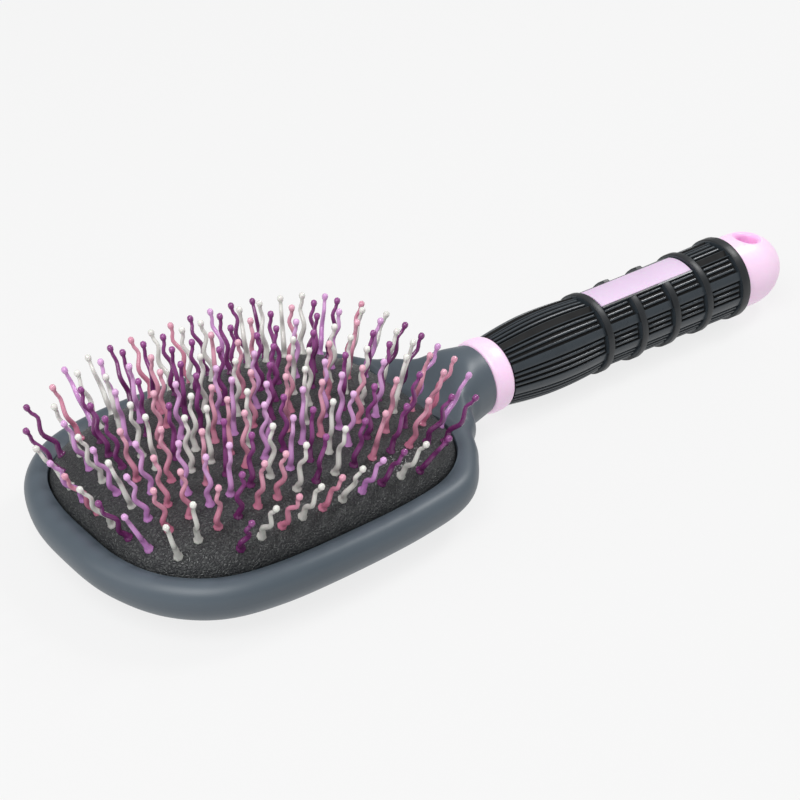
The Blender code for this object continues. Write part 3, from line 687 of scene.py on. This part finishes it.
def dome_lean(x, y):
    """Which way is outward on the dome, as long as a pin's lean there in radians."""
    spread = dome_spread(x, y)
    if not spread:
        return Vector((0, 0, 0))
    along = (x - OPENING_X) / CUSHION_HALF_LENGTH
    across = y / CUSHION_HALF_WIDTH
    slope_x = math.copysign(abs(along / spread) ** (OPENING_POWER - 1), along) / CUSHION_HALF_LENGTH
    slope_y = math.copysign(abs(across / spread) ** (OPENING_POWER - 1), across) / CUSHION_HALF_WIDTH
    size = math.radians(PIN_SPLAY_DEGREES) * spread ** PIN_SPLAY_POWER * CUSHION_HALF_WIDTH
    return Vector((size * slope_x, size * slope_y, 0))


def wave_at(share):
    """Sideways place of the pin's middle line, which swings three times and is straight at its ends."""
    start, end = WAVE_SHARES
    along = min(max((share - start) / (end - start), 0.0), 1.0)
    fade = ease(along, 0, WAVE_FADE_SHARE) * (1 - ease(along, 1 - WAVE_FADE_SHARE, 1))
    return PIN_WAVE * math.sin(math.tau * WAVE_TURNS * along) * fade


def pin_sections(x, y, turn):
    """Rings square to the wavy middle line of one pin, which leans out with the dome."""
    outward = dome_lean(x, y)
    lean = outward.length
    way = Vector((0, 0, math.cos(lean))) + outward.normalized() * math.sin(lean)
    side = way.orthogonal().normalized()
    wave = side * math.cos(turn) + way.cross(side) * math.sin(turn)
    flat = way.cross(wave)
    foot = Vector((x, y, dome_z(x, y)))
    shaft = []
    for i in range(SHAFT_RINGS):
        share = i / (SHAFT_RINGS - 1)
        shaft.append((blend(*SHAFT_SHARES, share), blend(SHAFT_FOOT_RADIUS, SHAFT_END_RADIUS, share)))
    sections = []
    for share, radius in (*FOOT_ROWS, *shaft, *BALL_ROWS):
        middle = foot + way * PIN_LENGTH * share + wave * wave_at(share)
        swing = wave_at(share + SLOPE_SHARE) - wave_at(share - SLOPE_SHARE)
        tangent = (way + wave * swing / (2 * SLOPE_SHARE * PIN_LENGTH)).normalized()
        normal = flat.cross(tangent)
        ring = []
        for i in range(PIN_SIDES + 1):
            angle = math.tau * i / PIN_SIDES
            ring.append(middle + (normal * math.cos(angle) + flat * math.sin(angle)) * radius)
        sections.append(ring)
    return sections


def row_places(y):
    """Where the pins of one row stand, evenly spaced along the field's width there."""
    across = abs(y) / FIELD_HALF_WIDTH
    half = FIELD_HALF_LENGTH * (1 - across ** FIELD_POWER) ** (1 / FIELD_POWER)
    count = round(2 * half / PIN_PITCH)
    return [OPENING_X + half * (2 * k / count - 1) for k in range(count + 1)]


def pin_nylon(name, deep, pale):
    """Injection-moulded nylon: glossy and a little clear, with painted light and shade: shaded low down,
    where the pins shade each other, and lit towards the ball.
    """
    material, shader = new_material(name, IOR=1.53, Transmission_Weight=0.2, Subsurface_Weight=0.15,
                                    Subsurface_Scale=GLOW_DEPTH, Subsurface_Radius=(1.0, 0.7, 0.9))
    place = add_node(material, "ShaderNodeTexCoord", {}).outputs["Object"]
    cloud = add_node(material, "ShaderNodeTexNoise", {
        "Vector": place, "Scale": 1 / CLOUD_SIZE, "Detail": 2.0,
    })
    # Painted light and shade: the colour runs from the shaded one at the roots to the lit one at the
    # tips.
    height = add_node(material, "ShaderNodeSeparateXYZ", {"Vector": place})
    rise = add_node(material, "ShaderNodeMapRange", {
        "Value": height.outputs["Z"], "From Min": PAINTED_LIGHT_START_Z, "From Max": PAINTED_LIGHT_END_Z,
    })
    mixed = add_node(material, "ShaderNodeMath", {
        0: cloud.outputs["Fac"], 1: CLOUD_SHARE, 2: rise.outputs["Result"],
    }, operation="MULTIPLY_ADD")
    colour = add_node(material, "ShaderNodeMix", {
        "Factor": mixed.outputs["Value"], "A": linear(deep), "B": linear(pale),
    }, data_type="RGBA")
    rough = add_node(material, "ShaderNodeMapRange", {
        "Value": cloud.outputs["Fac"], "To Min": 0.08, "To Max": 0.16,
    })
    link_finish(material, shader, Base_Color=colour.outputs["Result"], Roughness=rough.outputs["Result"])
    return material


# Each nylon is given its painted shaded colour low on the pin and its painted lit colour at the top.
pin_nylons = {
    "P": pin_nylon("purple_nylon", "#560c4b", "#a85aa0"),
    "L": pin_nylon("lilac_nylon", "#bb74bf", "#f2c6f0"),
    "R": pin_nylon("rose_nylon", "#bf5f81", "#f8c4d6"),
    "W": pin_nylon("milky_nylon", "#c2c2bc", "#fcfcf6"),
}
row_pitch = 2 * (CUSHION_HALF_WIDTH - ROW_INSET) / (ROW_COUNT - 1)
turns = random.Random(PIN_SEED)
for row, letters in enumerate(PIN_COLOURS):
    y = (row - (ROW_COUNT - 1) / 2) * row_pitch
    bm = bmesh.new()
    for x, letter in zip(row_places(y), letters, strict=True):
        verts = loft(bm, pin_sections(x, y, turns.uniform(0, math.tau)))
        for face in {face for vert in verts for face in vert.link_faces}:
            face.material_index = list(pin_nylons).index(letter)
    close(bm)
    pins = make_piece(f"wavy_pins_{row + 1:02d}", bm, list(pin_nylons.values()), smooth_degrees=60)
    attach(pins, "cushion")
    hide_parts(f"pin_row_{row + 1:02d}")

# Collar
# A plain barrel-shaped ring, injection-moulded in pale pink ABS. It slides over the tang and is
# trapped between the neck and the grip.
COLLAR_BULGE = 1.2 * MM
COLLAR_POWER = 3.0
COLLAR_EDGE_POWER = 0.5
COLLAR_STEPS = 32
TURN_STEPS = 128


def axis_point(x, radius, angle):
    """A point at a radius from the handle's axis and at an angle from its top."""
    return Vector((x, -radius * math.sin(angle), AXIS_Z + radius * math.cos(angle)))


def turn_profile(profile):
    """A shape turned about the handle's axis from a line of places along X and radii.

    It is a loft, because a spin puts its faces in another order in each run.
    """
    angles = [math.tau * i / TURN_STEPS for i in range(TURN_STEPS + 1)]
    bm = bmesh.new()
    loft(bm, [[axis_point(x, radius, angle) for angle in angles] for x, radius in profile])
    close(bm)
    return bm


def collar_profile():
    """The barrel's outside with eased edges, and the bore that the tang fills."""
    top = collar_high.z - AXIS_Z
    bore = TANG_RADIUS + FIT_GAP
    profile = [(collar_low.x, bore)]
    for i in range(COLLAR_STEPS + 1):
        place = -math.cos(math.pi * i / COLLAR_STEPS)
        bulge = (1 - abs(place) ** COLLAR_POWER) ** COLLAR_EDGE_POWER
        x = blend(collar_low.x, collar_high.x, (1 + place) / 2)
        profile.append((x, top - COLLAR_BULGE * (1 - bulge)))
    return profile + [(collar_high.x, bore), (collar_low.x, bore)]


PINK_GLOW_DEPTH = 1.5 * MM
PINK_CLOUD_SIZE = 14 * MM
RIPPLE_SIZE = 1.6 * MM
RIPPLE_RELIEF = 0.05 * MM


def pale_pink_plastic(name, deep, pale, low_rough, high_rough):
    """Moulded ABS in a milky pink, glowing a little where light enters an edge."""
    material, shader = new_material(name, IOR=1.53, Subsurface_Weight=0.2,
                                    Subsurface_Scale=PINK_GLOW_DEPTH, Subsurface_Radius=(1.0, 0.45, 0.8))
    place = add_node(material, "ShaderNodeTexCoord", {}).outputs["Object"]
    cloud = add_node(material, "ShaderNodeTexNoise", {
        "Vector": place, "Scale": 1 / PINK_CLOUD_SIZE, "Detail": 2.0,
    })
    colour = add_node(material, "ShaderNodeMix", {
        "Factor": cloud.outputs["Fac"], "A": linear(deep), "B": linear(pale),
    }, data_type="RGBA")
    rough = add_node(material, "ShaderNodeMapRange", {
        "Value": cloud.outputs["Fac"], "To Min": low_rough, "To Max": high_rough,
    })
    ripple = add_node(material, "ShaderNodeTexNoise", {
        "Vector": place, "Scale": 1 / RIPPLE_SIZE, "Detail": 1.0,
    })
    bump = add_node(material, "ShaderNodeBump", {
        "Height": ripple.outputs["Fac"], "Strength": 0.08, "Distance": RIPPLE_RELIEF,
    })
    link_finish(material, shader, Base_Color=colour.outputs["Result"],
                Roughness=rough.outputs["Result"], Normal=bump.outputs["Normal"])
    return material


milky_pink = pale_pink_plastic("milky_pink_abs", "#f3cfec", "#f6d9f1", 0.3, 0.4)
collar = make_piece("pink_collar", turn_profile(collar_profile()), [milky_pink])
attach(collar, "brush_body")
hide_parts("neck_collar")

# Grip
# A sleeve of black thermoplastic rubber over the tang. Nine groups of a flat rib and three thin
# round ribs run along it, and five raised rings cross them and stop the hand from slipping.
grip_low, grip_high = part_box("grip_sleeve")
GRIP_LENGTH = grip_high.x - grip_low.x
GRIP_START_RADIUS = 10.5 * MM
GRIP_BELLY_RADIUS = 12.3 * MM
GRIP_WAIST_RADIUS = 11.4 * MM
GRIP_END_RADIUS = 12.2 * MM
BELLY_SHARE = 0.55
RING_COUNT = 5
RING_FIRST = 35.2 * MM
RING_SPACING = 13.2 * MM
RING_FIRST_RADIUS = 12.4 * MM
RING_LAST_RADIUS = 12.9 * MM
RING_HALF = 1.15 * MM
RING_END_HALF = 1.55 * MM
RING_ROUND = 0.35 * MM
RING_FOOT = 0.03 * MM
GROOVE_DEPTH = 1 * MM
DULL_SHADE_DEPTH = 0.4 * MM
SHADED_GROOVE_SLOT = 1
SHADED_RING_SLOT = 2
RIB_GROUPS = 9
RIB_TURN_SHARE = 0.5
RIB_END_GAP = 0.8 * MM
RIB_END_ROUND = 0.45 * MM
START_STATIONS = 14
STATION_GAP = 0.01 * MM
DEGREE = math.pi / 180
SIDE_LEAN = 0.25 * DEGREE
# Each row: middle and half width as shares of a group, and how wide its rounded edge is
RIBS = (
    (0.000, 0.165, 0.30 * MM),
    (0.285, 0.050, 0.42 * MM),
    (0.490, 0.050, 0.42 * MM),
    (0.695, 0.050, 0.42 * MM),
)
EDGE_SHARES = (0.0, 0.12, 0.4, 1.0)
LABEL_HALF_DEGREES = 24.5
LABEL_RIM_DEGREES = 3.2
LABEL_WALL_DEGREES = 0.1
LABEL_ROUND_DEGREES = 0.3
LABEL_ROUND = 0.1 * MM
RIB_CLEAR_DEGREES = 0.2
LABEL_RADIUS = 11.9 * MM
LABEL_THICKNESS = 1.2 * MM
label_low, label_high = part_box("label_plate")
LABEL_START = label_low.x - grip_low.x - FIT_GAP
LABEL_END = label_high.x - grip_low.x + FIT_GAP


def round_drop(share, size):
    """How far a rounded edge lies below its top at a share of the edge's width from its foot."""
    return size * (1 - math.sqrt(max(0.0, 1 - (1 - min(share, 1.0)) ** 2)))


def grip_radius(along):
    """Radius over the ribs at a place along the grip."""
    share = along / RING_FIRST
    if share < 1:
        if share < BELLY_SHARE:
            rise = math.sin(share / BELLY_SHARE * math.pi / 2)
            return blend(GRIP_START_RADIUS, GRIP_BELLY_RADIUS, rise)
        fall = ((share - BELLY_SHARE) / (1 - BELLY_SHARE)) ** 2
        return blend(GRIP_BELLY_RADIUS, GRIP_WAIST_RADIUS, fall)
    past = (along - RING_FIRST) / (GRIP_LENGTH - RING_FIRST)
    return blend(GRIP_WAIST_RADIUS, GRIP_END_RADIUS, past)


def ring_places():
    """Middle and half width of each ring; the last one ends the grip."""
    places = [(RING_FIRST + RING_SPACING * i, RING_HALF) for i in range(RING_COUNT - 1)]
    return places + [(GRIP_LENGTH - RING_END_HALF, RING_END_HALF)]


def ring_radius(along):
    """Radius of the ring at a place, or zero between rings."""
    for middle, half in ring_places():
        inside = half - abs(along - middle)
        if inside > -WELD:
            share = (along - RING_FIRST) / (GRIP_LENGTH - RING_FIRST)
            top = blend(RING_FIRST_RADIUS, RING_LAST_RADIUS, max(share, 0))
            return top - round_drop(max(inside, 0) / RING_ROUND, RING_ROUND)
    return 0


def rib_end(along):
    """1 along the thin ribs, falling to 0 in a rounded end before and after each ring."""
    height = 1.0
    for middle, half in ring_places():
        past = abs(along - middle) - half - RIB_END_GAP
        left = 1 - min(max(past / RIB_END_ROUND, 0), 1)
        height = min(height, math.sqrt(max(0.0, 1 - left ** 2)))
    return height


def grip_stations():
    """Places of the sections along the grip, close together at the rings and the ribs' ends."""
    offsets = [0.0]
    for share in EDGE_SHARES:
        offsets.append(-share * RING_ROUND)
    offsets += [RING_FOOT, RIB_END_GAP / 2, RIB_END_GAP]
    offsets += [RIB_END_GAP + RIB_END_ROUND * share for share in EDGE_SHARES]
    stations = {0.0, GRIP_LENGTH, LABEL_START, LABEL_END}
    stations |= {RING_FIRST * i / START_STATIONS for i in range(START_STATIONS - 1)}
    for middle, half in ring_places():
        for offset in offsets:
            stations |= {middle - half - offset, middle + half + offset}
        stations |= {middle, middle + half + RING_SPACING / 3, middle + half + RING_SPACING / 2}
    ordered = sorted(place for place in stations if 0 <= place <= GRIP_LENGTH)
    kept = ordered[:1]
    for place in ordered[1:]:
        if place - kept[-1] > STATION_GAP:
            kept.append(place)
    return kept


def rib_profile():
    """Angles round the grip from the top, with the drop below the ribs and which rib it is."""
    group = math.tau / RIB_GROUPS
    points = []
    for index in range(RIB_GROUPS):
        for middle, half, size in RIBS:
            centre = group * (index + RIB_TURN_SHARE + middle)
            reach = group * half
            thin = middle > 0
            for side in (-1, 1):
                shares = EDGE_SHARES if side < 0 else EDGE_SHARES[::-1]
                if side < 0:
                    points.append((centre - reach - SIDE_LEAN, GROOVE_DEPTH, thin))
                for share in shares:
                    angle = centre + side * (reach - share * size / GRIP_BELLY_RADIUS)
                    points.append((angle, round_drop(share, size), thin))
                if side > 0:
                    points.append((centre + reach + SIDE_LEAN, GROOVE_DEPTH, thin))
    return points


def from_top(angle):
    """How far an angle lies from the top of the grip, in degrees."""
    return abs((angle + math.pi) % math.tau - math.pi) / DEGREE


def grip_columns():
    """The ribs' angles in order, with those of the label's seat and its border let in."""
    seat = LABEL_HALF_DEGREES
    border = seat + LABEL_RIM_DEGREES
    wall, round_edge = LABEL_WALL_DEGREES, LABEL_ROUND_DEGREES
    extra = (seat - wall, seat, seat + round_edge, border - wall - round_edge, border - wall, border)
    columns = []
    for angle, drop, thin in rib_profile():
        if min(abs(from_top(angle) - edge) for edge in extra) > RIB_CLEAR_DEGREES:
            columns.append((angle % math.tau, drop, thin))
    for edge in extra:
        for angle in (edge * DEGREE, math.tau - edge * DEGREE):
            columns.append((angle, GROOVE_DEPTH, False))
    columns.sort()
    return columns + [(columns[0][0] + math.tau, *columns[0][1:])]


def label_radius(degrees):
    """Radius of the seat and border round the label plate, at an angle from the top."""
    if degrees < LABEL_HALF_DEGREES - LABEL_WALL_DEGREES / 2:
        return LABEL_RADIUS - LABEL_THICKNESS - FIT_GAP
    edge = min(degrees - LABEL_HALF_DEGREES, LABEL_HALF_DEGREES + LABEL_RIM_DEGREES - degrees)
    return LABEL_RADIUS - round_drop(edge / LABEL_ROUND_DEGREES, LABEL_ROUND)


def grip_shape():
    """The sleeve: its ribbed outside from end to end, and back through the bore."""
    columns = grip_columns()
    label_reach = LABEL_HALF_DEGREES + LABEL_RIM_DEGREES + LABEL_WALL_DEGREES / 2
    sections = []
    for along in grip_stations():
        ring = ring_radius(along)
        skin = grip_radius(along)
        end = rib_end(along)
        on_label = LABEL_START - WELD < along < LABEL_END + WELD
        section = []
        for angle, drop, thin in columns:
            degrees = from_top(angle)
            radius = skin - GROOVE_DEPTH + (GROOVE_DEPTH - drop) * (end if thin else 1)
            radius = max(radius, ring)
            if on_label and degrees < label_reach:
                radius = label_radius(degrees)
            section.append(axis_point(grip_low.x + along, radius, angle))
        sections.append(section)
    for x in (grip_high.x, grip_low.x):
        sections.append([axis_point(x, TANG_RADIUS + FIT_GAP, angle) for angle, _, _ in columns])
    sections.append(sections[0])
    bm = bmesh.new()
    loft(bm, sections)
    close(bm)
    # Faces deep in the grooves and faces on the rings take darker copies of the rubber: painted shade.
    for face in bm.faces:
        middle = face.calc_center_median()
        depth = grip_radius(middle.x - grip_low.x) - math.hypot(middle.y, middle.z - AXIS_Z)
        if DULL_SHADE_DEPTH < depth < 2 * GROOVE_DEPTH:
            face.material_index = SHADED_GROOVE_SLOT
        elif depth < -RING_ROUND / 2:
            face.material_index = SHADED_RING_SLOT
    return bm


GRIP_CLOUD_SIZE = 7 * MM
GRIP_SKIN_SIZE = 0.25 * MM
GRIP_SKIN_RELIEF = 0.04 * MM


def black_grip_rubber(name, deep, pale, low_rough, high_rough):
    """Moulded thermoplastic rubber: black, polished by hands on its ribs and dull in its grooves, where
    it is also painted darker as shade.
    """
    material, shader = new_material(name, IOR=1.5)
    place = add_node(material, "ShaderNodeTexCoord", {}).outputs["Object"]
    drift = add_node(material, "ShaderNodeTexNoise", {
        "Vector": place, "Scale": 1 / GRIP_CLOUD_SIZE, "Detail": 3.0,
    })
    colour = add_node(material, "ShaderNodeMix", {
        "Factor": drift.outputs["Fac"], "A": linear(deep), "B": linear(pale),
    }, data_type="RGBA")
    rough = add_node(material, "ShaderNodeMapRange", {
        "Value": drift.outputs["Fac"], "From Min": 0.3, "From Max": 0.7,
        "To Min": low_rough, "To Max": high_rough,
    })
    skin = add_node(material, "ShaderNodeTexNoise", {
        "Vector": place, "Scale": 1 / GRIP_SKIN_SIZE, "Detail": 2.0,
    })
    bump = add_node(material, "ShaderNodeBump", {
        "Height": skin.outputs["Fac"], "Strength": 0.15, "Distance": GRIP_SKIN_RELIEF,
    })
    link_finish(material, shader, Base_Color=colour.outputs["Result"],
                Roughness=rough.outputs["Result"], Normal=bump.outputs["Normal"])
    return material


# The rib tops show the rubber's own colour; the groove and ring copies are painted darker, as painted
# shade, and are rougher.
grip_rubbers = [
    black_grip_rubber("black_grip_rubber", "#292f34", "#343b41", 0.25, 0.33),
    black_grip_rubber("dull_shaded_groove_rubber", "#060607", "#0b0c0d", 0.7, 0.85),
    black_grip_rubber("matt_shaded_ring_rubber", "#14171a", "#1d2125", 0.38, 0.46),
]
grip = make_piece("ribbed_grip", grip_shape(), grip_rubbers, smooth_degrees=30)
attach(grip, "brush_body")
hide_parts("grip_sleeve")

# Label plate
# A thin curved plate of the same pale pink plastic, with painted shade, let into a recess in the top of
# the grip.
# It is pressed in flush with the narrow border round it, and it is bare.
PLATE_EDGE = 0.15 * MM
PLATE_GAP = 0.06 * MM
PLATE_CORNER_SHARE = 0.3
PLATE_STEPS_ACROSS = 24
PLATE_STEPS_ALONG = 12


def plate_section(x, inset):
    """A closed loop round the plate at one place, drawn in by an inset near its ends."""
    half = LABEL_HALF_DEGREES * DEGREE - (PLATE_GAP + inset) / LABEL_RADIUS
    top, bottom = LABEL_RADIUS - inset, LABEL_RADIUS - LABEL_THICKNESS
    flat = half - PLATE_EDGE / LABEL_RADIUS
    corner_drop = PLATE_EDGE * PLATE_CORNER_SHARE
    corner = [(half - corner_drop / LABEL_RADIUS, top - corner_drop), (half, top - PLATE_EDGE)]
    loop = [(flat * (2 * i / PLATE_STEPS_ACROSS - 1), top) for i in range(PLATE_STEPS_ACROSS + 1)]
    loop += corner + [(half, bottom), (-half, bottom)]
    loop += [(-angle, radius) for angle, radius in corner[::-1]]
    loop.append(loop[0])
    return [axis_point(x, radius, angle) for angle, radius in loop]


def plate_shape():
    """The plate from end to end, with every edge of its top eased."""
    start, end = label_low.x - FIT_GAP + PLATE_GAP, label_high.x + FIT_GAP - PLATE_GAP
    sections = []
    for share in EDGE_SHARES:
        sections.append(plate_section(start + PLATE_EDGE * share, round_drop(share, PLATE_EDGE)))
    for i in range(1, PLATE_STEPS_ALONG):
        sections.append(plate_section(blend(start, end, i / PLATE_STEPS_ALONG), 0))
    for share in EDGE_SHARES[::-1]:
        sections.append(plate_section(end - PLATE_EDGE * share, round_drop(share, PLATE_EDGE)))
    bm = bmesh.new()
    loft(bm, sections)
    close(bm)
    return bm


# Painted shade: the plate's copy of the pink plastic is darker and greyer than the collar's.
shaded_plate_pink = pale_pink_plastic("shaded_label_pink_abs", "#cfb8d3", "#d6c2da", 0.5, 0.6)
plate = make_piece("pink_label_plate", plate_shape(), [shaded_plate_pink])
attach(plate, "brush_body")
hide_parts("label_plate")

# End cap
# A domed cap of milky pink plastic, whose socket is pressed onto the tang's end. A round hole runs
# straight down through it for a hanging cord, and its mouths are softly rounded.
cap_low, cap_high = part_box("end_cap")
CAP_RADIUS = (cap_high.z - cap_low.z) / 2
CAP_DOME_START = 7.2 * MM
CAP_DOME_LENGTH = cap_high.x - cap_low.x - CAP_DOME_START
CAP_SIDE_STEPS = 8
CAP_DOME_STEPS = 32
CAP_SOCKET_DEPTH = 4.5 * MM
HOLE_RADIUS = 3.2 * MM
HOLE_X = cap_low.x + 9.5 * MM
HOLE_ROUND = 2.1 * MM
HOLE_OVERRUN = 2 * MM
HOLE_SIDES = 96
HOLE_ROUND_STEPS = 8
HOLE_BOUNCE_SHARE = 0.7


def cap_radius(x):
    """Radius of the cap at a place along the handle."""
    past = (x - cap_low.x - CAP_DOME_START) / CAP_DOME_LENGTH
    if past <= 0:
        return CAP_RADIUS - FIT_GAP * (1 - ease((x - cap_low.x) / CAP_DOME_START, 0, 1))
    return CAP_RADIUS * math.sqrt(max(0.0, 1 - past ** 2))


def cap_profile():
    """From the middle of the flat end out to its rim, along the side and over the dome."""
    profile = [(cap_low.x, 0)]
    for i in range(CAP_SIDE_STEPS):
        x = cap_low.x + CAP_DOME_START * i / CAP_SIDE_STEPS
        profile.append((x, cap_radius(x)))
    for i in range(CAP_DOME_STEPS + 1):
        angle = math.pi / 2 * i / CAP_DOME_STEPS
        x = cap_low.x + CAP_DOME_START + CAP_DOME_LENGTH * math.sin(angle)
        profile.append((x, CAP_RADIUS * math.cos(angle)))
    return profile


def hole_cutter():
    """The hole's shape, whose flared mouths follow the cap's surface above and below."""
    def ring(radius, drop, side):
        points = []
        for i in range(HOLE_SIDES + 1):
            angle = math.tau * i / HOLE_SIDES
            x, y = HOLE_X + radius * math.cos(angle), radius * math.sin(angle)
            height = math.sqrt(max(cap_radius(x) ** 2 - y ** 2, 0))
            points.append(Vector((x, y, AXIS_Z + side * (height - drop))))
        return points

    half = [(0.0, -HOLE_OVERRUN), (HOLE_RADIUS + HOLE_ROUND, -HOLE_OVERRUN)]
    for i in range(HOLE_ROUND_STEPS + 1):
        angle = math.pi / 2 * i / HOLE_ROUND_STEPS
        radius = HOLE_RADIUS + HOLE_ROUND * (1 - math.sin(angle))
        half.append((radius, HOLE_ROUND * (1 - math.cos(angle))))
    sections = [ring(radius, drop, 1) for radius, drop in half]
    sections += [ring(radius, drop, -1) for radius, drop in half[::-1]]
    bm = bmesh.new()
    loft(bm, sections)
    return bm


# Painted bounce light: the same pink plastic, painted deeper inside the hole for light reflected about
# in it.
hole_bounce_pink = pale_pink_plastic("hole_bounce_pink_abs", "#f6b4e6", "#f9c4ec", 0.3, 0.4)
cap = make_piece("pink_end_cap", turn_profile(cap_profile()), [milky_pink, hole_bounce_pink])
cut(cap, hole_cutter())
# Faces in the hole and its mouths take the deeper pink of painted bounce light.
for face in cap.data.polygons:
    if math.hypot(face.center.x - HOLE_X, face.center.y) < HOLE_RADIUS + HOLE_ROUND * HOLE_BOUNCE_SHARE:
        face.material_index = 1
cut(cap, rod(cap_low.x - OVERRUN, cap_low.x + CAP_SOCKET_DEPTH, TANG_RADIUS + FIT_GAP))
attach(cap, "brush_body")
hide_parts("end_cap")

# Studio
# A pale seamless table that glows a little, a pale world, and three square soft lights: a big
# one above the head, a weak one from the left and a small one that lights the grip's ribs.
FLOOR_HALF = 3.0
FLOOR_GLOW = 0.8
WORLD_GLOW = 0.42
WHITE = (1.0, 1.0, 1.0, 1.0)
floor_bm = bmesh.new()
bmesh.ops.create_grid(floor_bm, x_segments=1, y_segments=1, size=FLOOR_HALF)
paper, _ = new_material("pale_paper", Base_Color=linear("#505050"), Roughness=0.95,
                        Emission_Color=WHITE, Emission_Strength=FLOOR_GLOW)
floor = make_piece("floor", floor_bm, [paper])

world = bpy.data.worlds.new("studio")
world.use_nodes = True
background = world.node_tree.nodes["Background"]
background.inputs["Color"].default_value = WHITE
background.inputs["Strength"].default_value = WORLD_GLOW
bpy.context.scene.world = world
bpy.context.scene.view_settings.view_transform = "Standard"


def softbox(name, place, target, size, power):
    """A square soft light that faces a point."""
    light = bpy.data.lights.new(name, "AREA")
    light.shape = "SQUARE"
    light.size = size
    light.energy = power
    lamp = bpy.data.objects.new(name, light)
    lamp.location = place
    lamp.rotation_euler = (Vector(target) - Vector(place)).to_track_quat("-Z", "Y").to_euler()
    bpy.context.scene.collection.objects.link(lamp)


softbox("key", place=(-0.45, -0.25, 0.82), target=(-0.05, 0, 0), size=0.6, power=7)
softbox("left", place=(-0.9, 0.25, 0.45), target=(-0.05, 0, 0), size=0.4, power=1.4)
softbox("far", place=(0.65, 0.0, 0.8), target=(0, 0, 0), size=0.25, power=4)

# Camera
# It stands in front of the head's near corner and looks down at the brush, which runs away from
# it to the right. Its right and back directions say how it is turned.
CAMERA_PLACE = Vector((-335.0, -407.9, 344.2)) * MM
CAMERA_RIGHT = Vector((0.7916, -0.6110, 0.0032))
CAMERA_BACK = Vector((-0.5170, -0.6671, 0.5363))
SENSOR_WIDTH = 36.0
FOCAL_LENGTH = 98.9
camera_data = bpy.data.cameras.new("camera")
camera_data.sensor_width = SENSOR_WIDTH
camera_data.lens = FOCAL_LENGTH
camera = bpy.data.objects.new("camera", camera_data)
back = CAMERA_BACK.normalized()
up = back.cross(CAMERA_RIGHT).normalized()
axes = Matrix((up.cross(back), up, back)).transposed().to_4x4()
camera.matrix_world = Matrix.Translation(CAMERA_PLACE) @ axes
bpy.context.scene.collection.objects.link(camera)
bpy.context.scene.camera = camera
